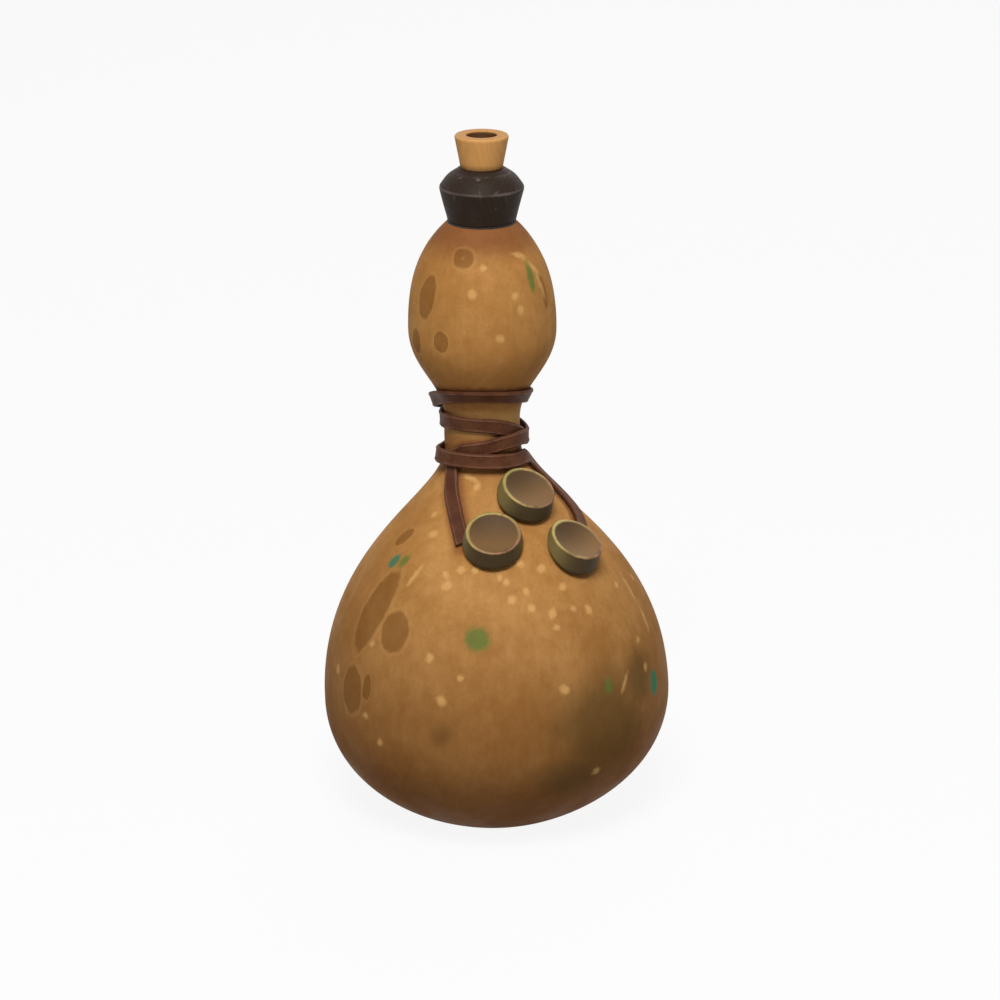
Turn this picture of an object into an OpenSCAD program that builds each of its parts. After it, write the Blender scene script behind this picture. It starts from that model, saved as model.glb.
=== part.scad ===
// Gourd water bottle with a turned collar, a lift-out stopper, a wound leather thong and three studs.
// Millimetres, +Z up. The base stands on Z = 0 and the belly is centred on the Z axis.
// The front, where the studs are, looks along -Y.
// Heights along the gourd are measured on its own crooked axis, from the base upwards.

/* [Gourd belly] */
// Radius of the belly at its widest
belly_r = 69; // [60:0.5:80]
// Height of the belly's widest ring
belly_h = 48; // [42:0.5:56]
// How far the round bottom would reach below the flat it stands on
bottom_bulge = 6; // [4:0.5:9]
// Reach of the bottom curve outwards from the middle
bottom_reach = 28; // [20:0.5:36]
// Reach of the side curve down from the belly's widest ring
side_reach_down = 35; // [25:0.5:42]
// Reach of the shoulder curve up from the belly's widest ring
shoulder_reach_up = 62; // [50:1:70]
// Thickness of the gourd wall
wall_t = 4.5; // [3:0.1:6]
// Thickness of the wall above the flat it stands on
floor_t = 5; // [4:0.5:8]
// Lean of the lower gourd to the left, in degrees
lean = 3; // [1:0.5:5]

/* [Gourd waist and top bulb] */
// Radius of the bare waist
waist_r = 14.9; // [13:0.1:17]
// Height of the lower end of the waist
waist_h = 151; // [144:0.5:160]
// Length of the waist, over which the lean is bent straight
waist_len = 10; // [8:0.5:14]
// Reach of the shoulder curve down from the waist
waist_reach_down = 20; // [14:0.5:28]
// Radius of the top bulb at its widest
bulb_r = 29.2; // [25:0.1:34]
// Height of the bulb's widest ring above the waist
bulb_rise = 37.3; // [33:0.1:44]
// Reach of the bulb's curve down from its widest ring
bulb_reach_down = 16; // [14:0.5:20]
// Reach of the bulb's curve up from its widest ring
bulb_reach_up = 22; // [18:0.5:25]
// Reach of the neck curve up from the waist
neck_reach_up = 15; // [10:0.5:19]
// Height of the cut rim above the bulb's widest ring
rim_rise = 42.2; // [38:0.1:48]
// Outer radius of the cut rim
rim_r = 13.6; // [12.8:0.1:16]
// Reach of the crown curve outwards from the rim
rim_reach_out = 9.6; // [8:0.1:11]
// Reach of the crown curve down from the rim
rim_reach_down = 9; // [8:0.1:10]
// Radius of the hole cut in the mouth
mouth_r = 9.9; // [9:0.1:10.6]
// Thickness of the wax coat inside
lining_t = 1; // [0.6:0.1:1.6]

/* [Mouth collar] */
// Radius of the collar's foot on the rim
collar_foot_r = 13.2; // [12.4:0.1:15]
// Radius of the collar at its crease
collar_crease_r = 16.6; // [15.5:0.1:19]
// Height of the crease above the collar's foot
collar_crease_h = 13.2; // [9:0.1:15]
// Radius of the crease's rounding
collar_crease_round = 0.8; // [0.4:0.1:1.2]
// Radius where the collar's top slope turns towards the lip
collar_slope_r = 13.4; // [12:0.1:14.4]
// Height of that turn above the crease
collar_slope_h = 4.4; // [3.6:0.1:5.5]
// Radius of the lip's outer edge
collar_lip_r = 8.9; // [8.6:0.1:10]
// Height of the lip above the crease
collar_lip_h = 7.4; // [6.5:0.1:10]
// Radius of the tapered bore at the lip
bore_top_r = 7.6; // [6.8:0.1:7.8]
// Radius of the tapered bore at its lower end
bore_low_r = 6.6; // [5.8:0.1:6.8]
// Radius of the spigot that goes down into the mouth
spigot_r = 9.3; // [8.8:0.1:9.4]
// Depth of the spigot below the collar's foot
spigot_len = 13; // [8:0.5:16]
// Thickness of the pitch under the collar's foot
bedding_t = 0.7; // [0.4:0.1:1.2]
// Depth of the pitch round the spigot
bedding_len = 3.6; // [2.5:0.1:6]

/* [Stopper] */
// Radius of the head where it meets the lip
head_foot_r = 8.1; // [7.9:0.1:8.6]
// Radius of the head at its top
head_top_r = 10.6; // [9.5:0.1:12]
// Height of the head above the lip
head_h = 13; // [11:0.5:18]
// Radius of the rounded edge round the head's top
head_round = 0.8; // [0.4:0.1:1.4]
// Radius of the blind socket in the head
socket_r = 5.9; // [4.5:0.1:6.4]
// Depth of the blind socket
socket_depth = 9; // [6:0.5:10]
// Length of the stem below the lip
stem_len = 24; // [18:0.5:28]
// Clearance between the stem and the bore
stem_gap = 0.25; // [0.15:0.05:0.5]
// Distance from the lip down to the packing
packing_drop = 7; // [4:0.5:9]
// Length of the packing
packing_len = 11; // [6:0.5:13]
// Thickness of the packing
packing_t = 1.1; // [0.8:0.1:1.5]
// Clearance between the packing and the bore
packing_gap = 0.08; // [0.05:0.01:0.1]

/* [Thong] */
// Width of the strap
thong_w = 6.2; // [5:0.1:6.4]
// Thickness of the strap
thong_t = 1.3; // [1:0.1:1.5]
// Clearance between the strap and the gourd
thong_gap = 0.35; // [0.3:0.05:0.6]
// Clearance between the strap and itself where it crosses
thong_cross_gap = 0.55; // [0.5:0.05:0.8]

/* [Studs] */
// Radius of a stud at its widest
boss_r = 12.1; // [11.4:0.1:12.2]
// Radius of the flat rim's outer edge
boss_rim_r = 10.7; // [9.5:0.1:11.2]
// Radius of the dish in the face
boss_dish_r = 9.6; // [8:0.1:9.8]
// Depth of the dish
boss_dish_depth = 2.2; // [1.2:0.1:2.6]
// Depth below the face at which the side is at its widest
boss_flare = 3; // [2:0.1:4]
// Height of a stud's face above its bed, along its axis
boss_h = 4; // [3.8:0.1:6]
// Elevation of a stud's axis, in degrees
boss_lift = 58; // [54:1:60]
// Radius of the rounded edge of the rim
boss_rim_round = 0.35; // [0.2:0.05:0.6]
// Turn of the left stud round the gourd, in degrees to the right of the front
left_boss_turn = 4; // [2:0.5:5]
// Turn of the top stud round the gourd
top_boss_turn = 38; // [37:0.5:40]
// Turn of the right stud round the gourd
right_boss_turn = 49.5; // [49:0.5:54]
// Distance down the gourd from the waist's lower end to the left stud
left_boss_drop = 29.3; // [29:0.1:32]
// Distance down the gourd from the waist's lower end to the top stud
top_boss_drop = 17.2; // [16.8:0.1:17.4]
// Distance down the gourd from the waist's lower end to the right stud
right_boss_drop = 36.5; // [36.2:0.1:39]
// Radius of the pitch bed under a stud
bed_r = 8.4; // [7:0.1:8.6]
// Thickness of the pitch bed
bed_t = 2; // [1.95:0.05:2.6]
// Radius of the dowel
dowel_r = 1.5; // [1:0.1:2]
// Depth of the dowel in the stud
dowel_in_boss = 1.1; // [0.8:0.1:1.2]
// Depth of the dowel in the shell wall
dowel_in_wall = 3; // [2:0.1:3.4]
// Clearance between a dowel and its hole
dowel_gap = 0.05; // [0.03:0.01:0.1]

/* [Hidden] */
$fn = 96;

left = 0;
top = 1;
right = 2;
curve_steps = 12;
round_steps = 5;
boss_turn = [left_boss_turn, top_boss_turn, right_boss_turn];
boss_drop = [left_boss_drop, top_boss_drop, right_boss_drop];
// Cuts run past a face by this much, so that no skin is left
over = 1;
// The bent waist stands this much proud of the curves above and below, which run this far into it
waist_step = 0.15;
waist_lap = 1;

// Names for the gourd's own heights
waist_top_h = waist_h + waist_len;
bulb_h = waist_top_h + bulb_rise;
rim_h = bulb_h + rim_rise;

// The waist is bent to this radius, from leaning to upright
bend_r = waist_len / (lean * PI / 180);
waist_top_z = belly_h + (waist_h - belly_h) * cos(lean) + bend_r * sin(lean);
mouth_x = -(waist_h - belly_h) * sin(lean) - bend_r * (1 - cos(lean));
rim_z = waist_top_z + rim_h - waist_top_h;
collar_z = rim_z + bedding_t;
crease_z = collar_crease_h;
lip_z = crease_z + collar_lip_h;
lip_world_z = collar_z + lip_z;

function unit(v) = v / norm(v);
function bezier(p0, p1, p2, p3) = [
    for (i = [0:curve_steps])
        let (t = i / curve_steps, u = 1 - t)
        u * u * u * p0 + 3 * u * u * t * p1 + 3 * u * t * t * p2 + t * t * t * p3
];
function without_first(points) = [for (i = [1:len(points) - 1]) points[i]];

// Outline of the lower gourd, from the middle of the bottom up to the waist: [radius, height]
lower_curve = concat(
    bezier([0, -bottom_bulge], [bottom_reach, -bottom_bulge], [belly_r, belly_h - side_reach_down],
        [belly_r, belly_h]),
    without_first(bezier([belly_r, belly_h], [belly_r, belly_h + shoulder_reach_up],
        [waist_r, waist_h - waist_reach_down], [waist_r, waist_h]))
);
// Outline of the upper gourd, from the top of the waist to the cut rim
upper_curve = concat(
    bezier([waist_r, waist_top_h], [waist_r, waist_top_h + neck_reach_up],
        [bulb_r, bulb_h - bulb_reach_down], [bulb_r, bulb_h]),
    without_first(bezier([bulb_r, bulb_h], [bulb_r, bulb_h + bulb_reach_up],
        [rim_r + rim_reach_out, rim_h - rim_reach_down], [rim_r, rim_h]))
);

// An outline moved towards the axis by d, square to itself
function inset(curve, d, first_way, last_way) = [
    for (i = [0:len(curve) - 1])
        let (
            last = len(curve) - 1,
            way = i == 0 ? first_way : i == last ? last_way : unit(curve[i + 1] - curve[i - 1])
        )
        curve[i] + d * [-way.y, way.x]
];
function lower_inset(d) = inset(lower_curve, d, [1, 0], [0, 1]);
function upper_inset(d) = inset(upper_curve, d, [0, 1], unit([-rim_reach_out, rim_reach_down]));

// The crooked axis: a point on it and its lean at a height along the gourd
function lean_at(h) =
    h <= waist_h ? lean : h >= waist_top_h ? 0 : lean * (waist_top_h - h) / waist_len;
function axis_at(h) =
    h <= waist_h ? [-(h - belly_h) * sin(lean), 0, belly_h + (h - belly_h) * cos(lean)]
    : h >= waist_top_h ? [mouth_x, 0, waist_top_z + h - waist_top_h]
    : [mouth_x + bend_r * (1 - cos(lean_at(h))), 0, waist_top_z - bend_r * sin(lean_at(h))];
function leaned(v, a) = [v.x * cos(a) - v.z * sin(a), v.y, v.x * sin(a) + v.z * cos(a)];

// Radius of the gourd at a height, and the skin's outward direction at a turn round it
radius_table = [for (p = concat(lower_curve, upper_curve)) [p.y, p.x]];
function skin_r(h) = lookup(h, radius_table);
slope_step = 1.5;
function skin_slope(h) = (skin_r(h + slope_step) - skin_r(h - slope_step)) / (2 * slope_step);
function skin_out(turn, h) = leaned(unit([sin(turn), -cos(turn), -skin_slope(h)]), lean_at(h));
function skin_at(turn, h) = axis_at(h) + leaned(skin_r(h) * [sin(turn), -cos(turn), 0], lean_at(h));

module lower_gourd(d) {
    lap_h = waist_h + waist_lap;
    translate([0, 0, belly_h])
        rotate([0, -lean, 0])
            translate([0, 0, -belly_h])
                rotate_extrude()
                    polygon(concat(lower_inset(d), [[waist_r - d, lap_h], [0, lap_h]]));
}

module waist_bend(d) {
    translate([mouth_x + bend_r, 0, waist_top_z])
        rotate([90, 0, 0])
            rotate([0, 0, 180])
                rotate_extrude(angle = lean) translate([bend_r, 0]) circle(r = waist_r + waist_step - d);
}

module upper_gourd(d) {
    outline = upper_inset(d);
    end = outline[len(outline) - 1];
    lap_h = waist_top_h - waist_lap;
    translate([mouth_x, 0, waist_top_z - waist_top_h])
        rotate_extrude() polygon(concat([[0, lap_h], [waist_r - d, lap_h]], outline, [[0, end.y]]));
}

// The whole gourd, d inside its skin and cut flat at a height above the ground
module gourd_solid(d, flat_z) {
    difference() {
        union() {
            lower_gourd(d);
            waist_bend(d);
            upper_gourd(d);
        }
        translate([-2 * belly_r, -2 * belly_r, flat_z - 2 * belly_r])
            cube([4 * belly_r, 4 * belly_r, 2 * belly_r]);
    }
}

module mouth_hole() {
    depth = wall_t + lining_t + 2 * over;
    translate([mouth_x, 0, rim_z - depth]) cylinder(h = depth + over, r = mouth_r);
}

module gourd_shell() {
    color("#b07a45")
    difference() {
        gourd_solid(0, 0);
        gourd_solid(wall_t, floor_t);
        mouth_hole();
        for (i = [left:right]) dowel(i, dowel_gap);
    }
}

module wax_lining() {
    color("#c9a24e")
    difference() {
        gourd_solid(wall_t, floor_t);
        gourd_solid(wall_t + lining_t, floor_t + lining_t);
        mouth_hole();
    }
}

// Points along a rounding, as [radius, height], between two directions in degrees above level
function rounding(centre, r, from, to) =
    [for (i = [0:round_steps]) let (a = from + (to - from) * i / round_steps) centre + r * [cos(a), sin(a)]];

module mouth_collar() {
    crease = rounding([collar_crease_r - collar_crease_round, crease_z], collar_crease_round,
        -atan2(collar_crease_r - collar_foot_r, collar_crease_h),
        atan2(collar_crease_r - collar_slope_r, collar_slope_h));
    color("#32281f")
    translate([mouth_x, 0, collar_z])
        rotate_extrude()
            polygon(concat(
                [[spigot_r, -spigot_len], [spigot_r, 0], [collar_foot_r, 0]],
                crease,
                [[collar_slope_r, crease_z + collar_slope_h], [collar_lip_r, lip_z], [bore_top_r, lip_z],
                    [bore_low_r, -spigot_len]]
            ));
}

module collar_bedding() {
    color("#1d1611")
    translate([mouth_x, 0, collar_z])
        rotate_extrude()
            polygon([[spigot_r, 0], [collar_foot_r, 0], [collar_foot_r, -bedding_t],
                [mouth_r, -bedding_t], [mouth_r, -bedding_len], [spigot_r, -bedding_len]]);
}

// Radius of the tapered bore at a height below the lip
function bore_r(drop) = bore_top_r + (bore_low_r - bore_top_r) * drop / (lip_z + spigot_len);

module stopper() {
    groove_low = packing_drop + packing_len;
    edge = rounding([head_top_r - head_round, head_h - head_round], head_round, 0, 90);
    color("#b8834f")
    translate([mouth_x, 0, lip_world_z])
        difference() {
            rotate_extrude()
                polygon(concat(
                    [[0, -stem_len], [bore_r(stem_len) - stem_gap, -stem_len],
                        [bore_r(groove_low) - stem_gap, -groove_low],
                        [bore_r(groove_low) - packing_gap - packing_t, -groove_low],
                        [bore_r(packing_drop) - packing_gap - packing_t, -packing_drop],
                        [bore_r(packing_drop) - stem_gap, -packing_drop],
                        [bore_top_r - stem_gap, 0], [head_foot_r, 0]],
                    edge,
                    [[0, head_h]]
                ));
            translate([0, 0, head_h - socket_depth]) cylinder(h = socket_depth + over, r = socket_r);
        }
}

module stopper_packing() {
    low = packing_drop + packing_len;
    color("#d8c8a0")
    translate([mouth_x, 0, lip_world_z])
        rotate_extrude()
            polygon([[bore_r(low) - packing_gap - packing_t, -low], [bore_r(low) - packing_gap, -low],
                [bore_r(packing_drop) - packing_gap, -packing_drop],
                [bore_r(packing_drop) - packing_gap - packing_t, -packing_drop]]);
}

// The strap's route: [turn round the gourd in degrees, height above the waist's lower end, layer].
// It comes up from the left stud, turns under its last wrap, winds round the waist and goes down to
// the right stud.
thong_route = [
    [-14.2, -29.6, 0], [-19, -24.5, 0], [-26, -19, 0], [-36.5, -12.5, 0], [-43.5, -6.5, 0],
    [-42, -1.7, 0], [-30, 1, 0], [-12, 2, 0], [8, 2.9, 0],
    [30, 4.6, 1], [60, 4.7, 1], [90, 3, 1], [135, 4.7, 1], [180, 9, 1], [225, 14, 1],
    [266, 18.6, 1], [292, 21.2, 0], [322, 24, 0],
    [360, 25.4, 0], [405, 23.6, 0], [450, 20.2, 0], [495, 17.7, 0], [540, 15, 0],
    [585, 12.4, 0], [630, 10.8, 0], [675, 12.2, 0],
    [723, 12, 0], [745, 10.9, 0], [767, 8.6, 0], [789, 5.4, 0], [812, 2.8, 0],
    [855, 0.4, 0], [900, -1.6, 0], [945, -2.7, 0], [980, -2.6, 0], [1008, -2.2, 1.25],
    [1045, -1.8, 1.25], [1082, -2.7, 1],
    [1104, -3.5, 0.9], [1126, -4.2, 0], [1146, -4.7, 0], [1160, -5.5, 0], [1168, -8.4, 0],
    [1171, -12.7, 0], [1171, -18, 0], [1168, -23, 0], [1162, -27.4, 0], [1153.5, -31.2, 0],
    [1143.5, -34.4, 0]
];
thong_substeps = 3;

// A smooth curve through the route's points
function through(a, b, c, d, t) =
    0.5 * (2 * b + (c - a) * t + (2 * a - 5 * b + 4 * c - d) * t * t + (3 * b - a - 3 * c + d) * t * t * t);
route_last = len(thong_route) - 1;
function route_point(i) = thong_route[max(0, min(route_last, i))];
// Points of the strap's middle line: [turn, height up the gourd, layer]
thong_path = [
    for (i = [0:route_last])
        for (k = [0:i < route_last ? thong_substeps - 1 : 0])
            [0, waist_h, 0] + through(route_point(i - 1), route_point(i), route_point(i + 1),
                route_point(i + 2), k / thong_substeps)
];

// Where the strap's edges touch the skin, and its outward direction there: it bridges a hollow
function edge_r(h) = [skin_r(h - thong_w / 2), skin_r(h + thong_w / 2)];
function seat_r(h) = max(skin_r(h), (edge_r(h)[0] + edge_r(h)[1]) / 2);
function seat_out(turn, h) =
    leaned(unit([sin(turn), -cos(turn), (edge_r(h)[0] - edge_r(h)[1]) / thong_w]), lean_at(h));
thong_lift = waist_step + thong_gap + thong_t / 2;
thong_mid = [
    for (p = thong_path)
        axis_at(p[1]) + leaned(seat_r(p[1]) * [sin(p[0]), -cos(p[0]), 0], lean_at(p[1]))
        + (thong_lift + p[2] * (thong_t + thong_cross_gap)) * seat_out(p[0], p[1])
];
thong_last = len(thong_mid) - 1;
function thong_way(i) = unit(thong_mid[min(thong_last, i + 1)] - thong_mid[max(0, i - 1)]);
function thong_side(i) = unit(cross(thong_way(i), seat_out(thong_path[i][0], thong_path[i][1])));
function thong_out(i) = cross(thong_side(i), thong_way(i));

// Section of the strap: six corners as shares of its half width and half thickness
thong_section = [[1, 0], [0.86, 1], [-0.86, 1], [-1, 0], [-0.86, -1], [0.86, -1]];
sides = len(thong_section);
function thong_corner(i, c) =
    thong_mid[i] + c.x * thong_w / 2 * thong_side(i) + c.y * thong_t / 2 * thong_out(i);

module waist_thong() {
    points = [for (i = [0:thong_last]) for (c = thong_section) thong_corner(i, c)];
    skins = [
        for (i = [0:thong_last - 1])
            for (k = [0:sides - 1])
                let (a = i * sides + k, b = i * sides + (k + 1) % sides)
                each [[a, a + sides, b], [b, a + sides, b + sides]]
    ];
    ends = [
        for (k = [1:sides - 2])
            each [[0, k, k + 1], [thong_last * sides, thong_last * sides + k + 1, thong_last * sides + k]]
    ];
    color("#4f2f1f") polyhedron(points = points, faces = concat(skins, ends));
    echo(thong_length = thong_length(), least_gap_to_itself = thong_least_gap());
}

function thong_length() =
    let (steps = [for (i = [1:thong_last]) norm(thong_mid[i] - thong_mid[i - 1])])
    steps * [for (s = steps) 1];

// Least gap of the strap to itself, measured between points spread over its two faces
near_rings = 6;
near_reach = 1.5 * thong_w;
face_spread = [[-1, 0], [-0.86, -1], [-0.4, -1], [0, -1], [0.4, -1], [0.86, -1], [1, 0]];
function thong_least_gap() =
    let (
        under = [for (i = [0:thong_last]) [for (c = face_spread) thong_corner(i, c)]],
        upper = [for (i = [0:thong_last]) [for (c = face_spread) thong_corner(i, [c.x, -c.y])]]
    )
    min([
        for (i = [0:thong_last])
            for (j = [0:thong_last])
                if (abs(i - j) > near_rings && norm(thong_mid[i] - thong_mid[j]) < near_reach)
                    min([for (p = under[i]) for (q = upper[j]) norm(p - q)])
    ]);

function boss_foot(i) = skin_at(boss_turn[i], waist_h - boss_drop[i]);

// Places its children at a stud's foot on the skin, with +Z along the stud's axis
module at_boss(i) {
    translate(boss_foot(i)) rotate([0, 0, boss_turn[i]]) rotate([90 - boss_lift, 0, 0]) children();
}

// Places its children at a stud's foot, with +Z straight out of the skin
module at_skin(i) {
    out = skin_out(boss_turn[i], waist_h - boss_drop[i]);
    translate(boss_foot(i))
        rotate([0, 0, atan2(out.x, -out.y)])
            rotate([90 - asin(out.z), 0, 0]) children();
}

module dowel(i, gap) {
    at_skin(i)
        translate([0, 0, -dowel_in_wall - gap])
            cylinder(h = dowel_in_wall + bed_t + dowel_in_boss + 2 * gap, r = dowel_r + gap);
}

module boss(i) {
    dish_ball_r = (boss_dish_r * boss_dish_r + boss_dish_depth * boss_dish_depth) / (2 * boss_dish_depth);
    face_h = bed_t + boss_h;
    rim = rounding([boss_rim_r - boss_rim_round, face_h - boss_rim_round], boss_rim_round,
        atan2(boss_r - boss_rim_r, boss_flare), 90);
    color("#6e5e3c")
    difference() {
        at_boss(i)
            rotate_extrude()
                polygon(concat(
                    [[0, -boss_r], [boss_r, -boss_r], [boss_r, face_h - boss_flare]],
                    rim,
                    [[0, face_h]]
                ));
        lower_gourd(-bed_t);
        at_boss(i)
            translate([0, 0, face_h + dish_ball_r - boss_dish_depth]) sphere(r = dish_ball_r);
        dowel(i, dowel_gap);
    }
}

module boss_bed(i) {
    color("#2a1e15")
    difference() {
        intersection() {
            at_skin(i) translate([0, 0, -bed_r]) cylinder(h = 2 * bed_r, r = bed_r);
            lower_gourd(-bed_t);
        }
        lower_gourd(0);
        dowel(i, dowel_gap);
    }
}

module boss_pin(i) {
    color("#9a7a3c") dowel(i, 0);
}

gourd_shell();
wax_lining();
mouth_collar();
collar_bedding();
stopper();
stopper_packing();
waist_thong();
boss(left);  // boss_left
boss(top);  // boss_top
boss(right);  // boss_right
boss_bed(left);  // boss_bed_left
boss_bed(top);  // boss_bed_top
boss_bed(right);  // boss_bed_right
boss_pin(left);  // boss_pin_left
boss_pin(top);  // boss_pin_top
boss_pin(right);  // boss_pin_right
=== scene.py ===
"""Looks of a two-bulb gourd water bottle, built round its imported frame.

Sizes are in millimetres, as the maker would note them, and become metres when a mesh is made.
A turn is an angle round the gourd, in degrees from the front (-Y) towards the right (+X).
A height is measured along the gourd's own crooked axis, from its base.
"""

import logging
import math
from dataclasses import dataclass, field
from enum import Enum

import bpy
import numpy as np
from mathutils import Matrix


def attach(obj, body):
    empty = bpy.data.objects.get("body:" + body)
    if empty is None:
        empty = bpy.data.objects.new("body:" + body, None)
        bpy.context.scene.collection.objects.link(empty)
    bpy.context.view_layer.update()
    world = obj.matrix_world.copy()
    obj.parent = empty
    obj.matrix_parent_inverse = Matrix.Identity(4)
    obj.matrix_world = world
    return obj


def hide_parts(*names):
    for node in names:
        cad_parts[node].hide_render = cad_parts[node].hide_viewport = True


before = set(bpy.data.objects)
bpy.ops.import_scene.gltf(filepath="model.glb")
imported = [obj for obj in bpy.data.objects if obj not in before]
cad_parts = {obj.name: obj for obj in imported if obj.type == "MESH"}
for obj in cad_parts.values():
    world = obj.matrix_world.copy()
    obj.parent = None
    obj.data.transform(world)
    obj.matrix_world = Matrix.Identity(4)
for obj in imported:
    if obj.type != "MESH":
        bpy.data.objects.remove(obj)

MM = 0.001
LOG = logging.getLogger("gourd_bottle")

Colour = tuple[float, float, float]


def linear(red: int, green: int, blue: int) -> tuple[float, float, float, float]:
    """Turns a paint chip's 0 to 255 values into the linear colour that a shader takes.

    Args:
        red: Red of the chip.
        green: Green of the chip.
        blue: Blue of the chip.

    Returns:
        The linear colour with an alpha of 1.
    """
    shares = [value / 255 for value in (red, green, blue)]
    return (*(s / 12.92 if s <= 0.04045 else ((s + 0.055) / 1.055) ** 2.4 for s in shares), 1.0)


def smooth(low: float, high: float, value: np.ndarray) -> np.ndarray:
    """Eases from 0 at low to 1 at high, by the cubic 3t^2 - 2t^3.

    Args:
        low: Value where the result leaves 0.
        high: Value where the result reaches 1.
        value: Values to ease.

    Returns:
        The eased shares.
    """
    t = np.clip((value - low) / (high - low), 0, 1)
    return t * t * (3 - 2 * t)


def unit(v: np.ndarray) -> np.ndarray:
    """Vectors scaled to a length of 1."""
    return v / np.maximum(np.linalg.norm(v, axis=-1, keepdims=True), 1e-9)


def bezier(ends: list[tuple[float, float]], steps: int) -> np.ndarray:
    """A cubic curve from its four points, as u^3 a + 3u^2t b + 3ut^2 c + t^3 d with u = 1 - t.

    Args:
        ends: Start, its handle, the end's handle and the end, each as (radius, height).
        steps: Number of steps along the curve.

    Returns:
        Points as rows of (radius, height).
    """
    t = np.linspace(0, 1, steps + 1)[:, None]
    a, b, c, d = (np.array(point, float) for point in ends)
    u = 1 - t
    return u**3 * a + 3 * u * u * t * b + 3 * u * t * t * c + t**3 * d


def inset(outline: np.ndarray, depth: float) -> np.ndarray:
    """An outline moved towards the axis, square to itself: each point goes depth along its normal."""
    way = unit(np.gradient(outline, axis=0))
    return outline + depth * np.stack([-way[:, 1], way[:, 0]], axis=1)


def run_along(points: np.ndarray) -> np.ndarray:
    """Distance walked along a line of points, starting at 0."""
    return np.concatenate([[0], np.cumsum(np.linalg.norm(np.diff(points, axis=0), axis=1))])


def evenly(points: np.ndarray, count: int) -> np.ndarray:
    """The same line with count points at even distances along it."""
    run = run_along(points)
    at = np.linspace(0, run[-1], count)
    return np.stack([np.interp(at, run, points[:, k]) for k in range(points.shape[1])], axis=1)


def through(points: np.ndarray, substeps: int) -> np.ndarray:
    """A Catmull-Rom curve through points, with substeps points from each to the next.

    Args:
        points: Rows that the curve passes through.
        substeps: Points in each stretch.

    Returns:
        Rows along the curve, ending at the last point.
    """
    last = len(points) - 1
    index = np.append(np.repeat(np.arange(last), substeps), last)
    t = np.append(np.tile(np.arange(substeps) / substeps, last), 0)[:, None]
    a, b, c, d = (points[np.clip(index + k, 0, last)] for k in (-1, 0, 1, 2))
    return 0.5 * (2 * b + (c - a) * t + (2 * a - 5 * b + 4 * c - d) * t**2 + (3 * b - a - 3 * c + d) * t**3)


def ripple(*phases: np.ndarray) -> np.ndarray:
    """A soft unevenness between 0 and 1: the mean of sines of the phases, halved and lifted."""
    return 0.5 + 0.5 * sum(np.sin(p) for p in phases) / len(phases)


@dataclass(frozen=True)
class Role:
    """What a new piece stands for in the frame."""

    node: str
    body: str
    slot: str


def make_piece(name: str, points: np.ndarray, faces: np.ndarray, role: Role, material: bpy.types.Material,
               fields: dict[str, np.ndarray]) -> bpy.types.Object:
    """Makes a smooth mesh object in metres and puts it in its CAD node's place.

    Args:
        name: Name of the piece.
        points: Vertices as rows of x, y and z in millimetres.
        faces: Quads as rows of four indices, where a triangle repeats its last index.
        role: Node, body and slot that the piece stands for.
        material: Finish of the whole piece.
        fields: Attributes by name, one value or one colour for each vertex.

    Returns:
        The finished object.
    """
    mesh = bpy.data.meshes.new(name)
    quads = faces[faces[:, 2] != faces[:, 3]]
    tris = faces[faces[:, 2] == faces[:, 3]][:, :3]
    corners = np.concatenate([quads.ravel(), tris.ravel()]).astype(np.int32)
    sizes = np.concatenate([np.full(len(quads), 4), np.full(len(tris), 3)])
    starts = np.concatenate([[0], np.cumsum(sizes)[:-1]]).astype(np.int32)
    mesh.vertices.add(len(points))
    mesh.vertices.foreach_set("co", (points * MM).astype(np.float32).ravel())
    mesh.loops.add(len(corners))
    mesh.loops.foreach_set("vertex_index", corners)
    mesh.polygons.add(len(sizes))
    mesh.polygons.foreach_set("loop_start", starts)
    mesh.update(calc_edges=True)
    mesh.polygons.foreach_set("use_smooth", np.ones(len(sizes), bool))
    for key, values in fields.items():
        if values.ndim == 1:
            mesh.attributes.new(key, "FLOAT", "POINT").data.foreach_set("value", values.astype(np.float32))
        else:
            layer = mesh.color_attributes.new(key, "FLOAT_COLOR", "POINT")
            layer.data.foreach_set("color", values.astype(np.float32).ravel())
    mesh.materials.append(material)
    mesh.validate()
    piece = bpy.data.objects.new(name, mesh)
    bpy.context.scene.collection.objects.link(piece)
    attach(piece, role.body)
    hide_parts(role.node)
    LOG.info("%s: %d vertices, %d faces, on %s", name, len(points), len(sizes), role.body)
    return piece


def ring_faces(rings: int, around: int, closed_ends: tuple[bool, bool]) -> np.ndarray:
    """Faces of a grid that is closed round its rings, with a point at each closed end.

    Args:
        rings: Number of rings.
        around: Vertices in each ring.
        closed_ends: Whether one point, after all the rings' vertices, closes the first and last ring.

    Returns:
        Quads that face outwards where the rings turn left as they climb.
    """
    row, col = np.meshgrid(np.arange(rings - 1), np.arange(around), indexing="ij")
    here = (row * around + col).ravel()
    beside = (row * around + (col + 1) % around).ravel()
    faces = [np.stack([here, beside, beside + around, here + around], axis=1)]
    first = np.arange(around)
    after = (first + 1) % around
    tip = rings * around
    if closed_ends[0]:
        faces.append(np.stack([after, first, np.full(around, tip), np.full(around, tip)], axis=1))
        tip += 1
    if closed_ends[1]:
        base = (rings - 1) * around
        faces.append(np.stack([base + first, base + after, np.full(around, tip), np.full(around, tip)], axis=1))
    return np.concatenate(faces)


def hoop_faces(rings: int, around: int) -> np.ndarray:
    """Faces of a grid that is closed round its rings and from its last ring to its first."""
    first, last = np.arange(around), (rings - 1) * around + np.arange(around)
    seam = np.stack([last, np.roll(last, -1), np.roll(first, -1), first], axis=1)
    return np.concatenate([ring_faces(rings, around, (False, False)), seam])


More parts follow.
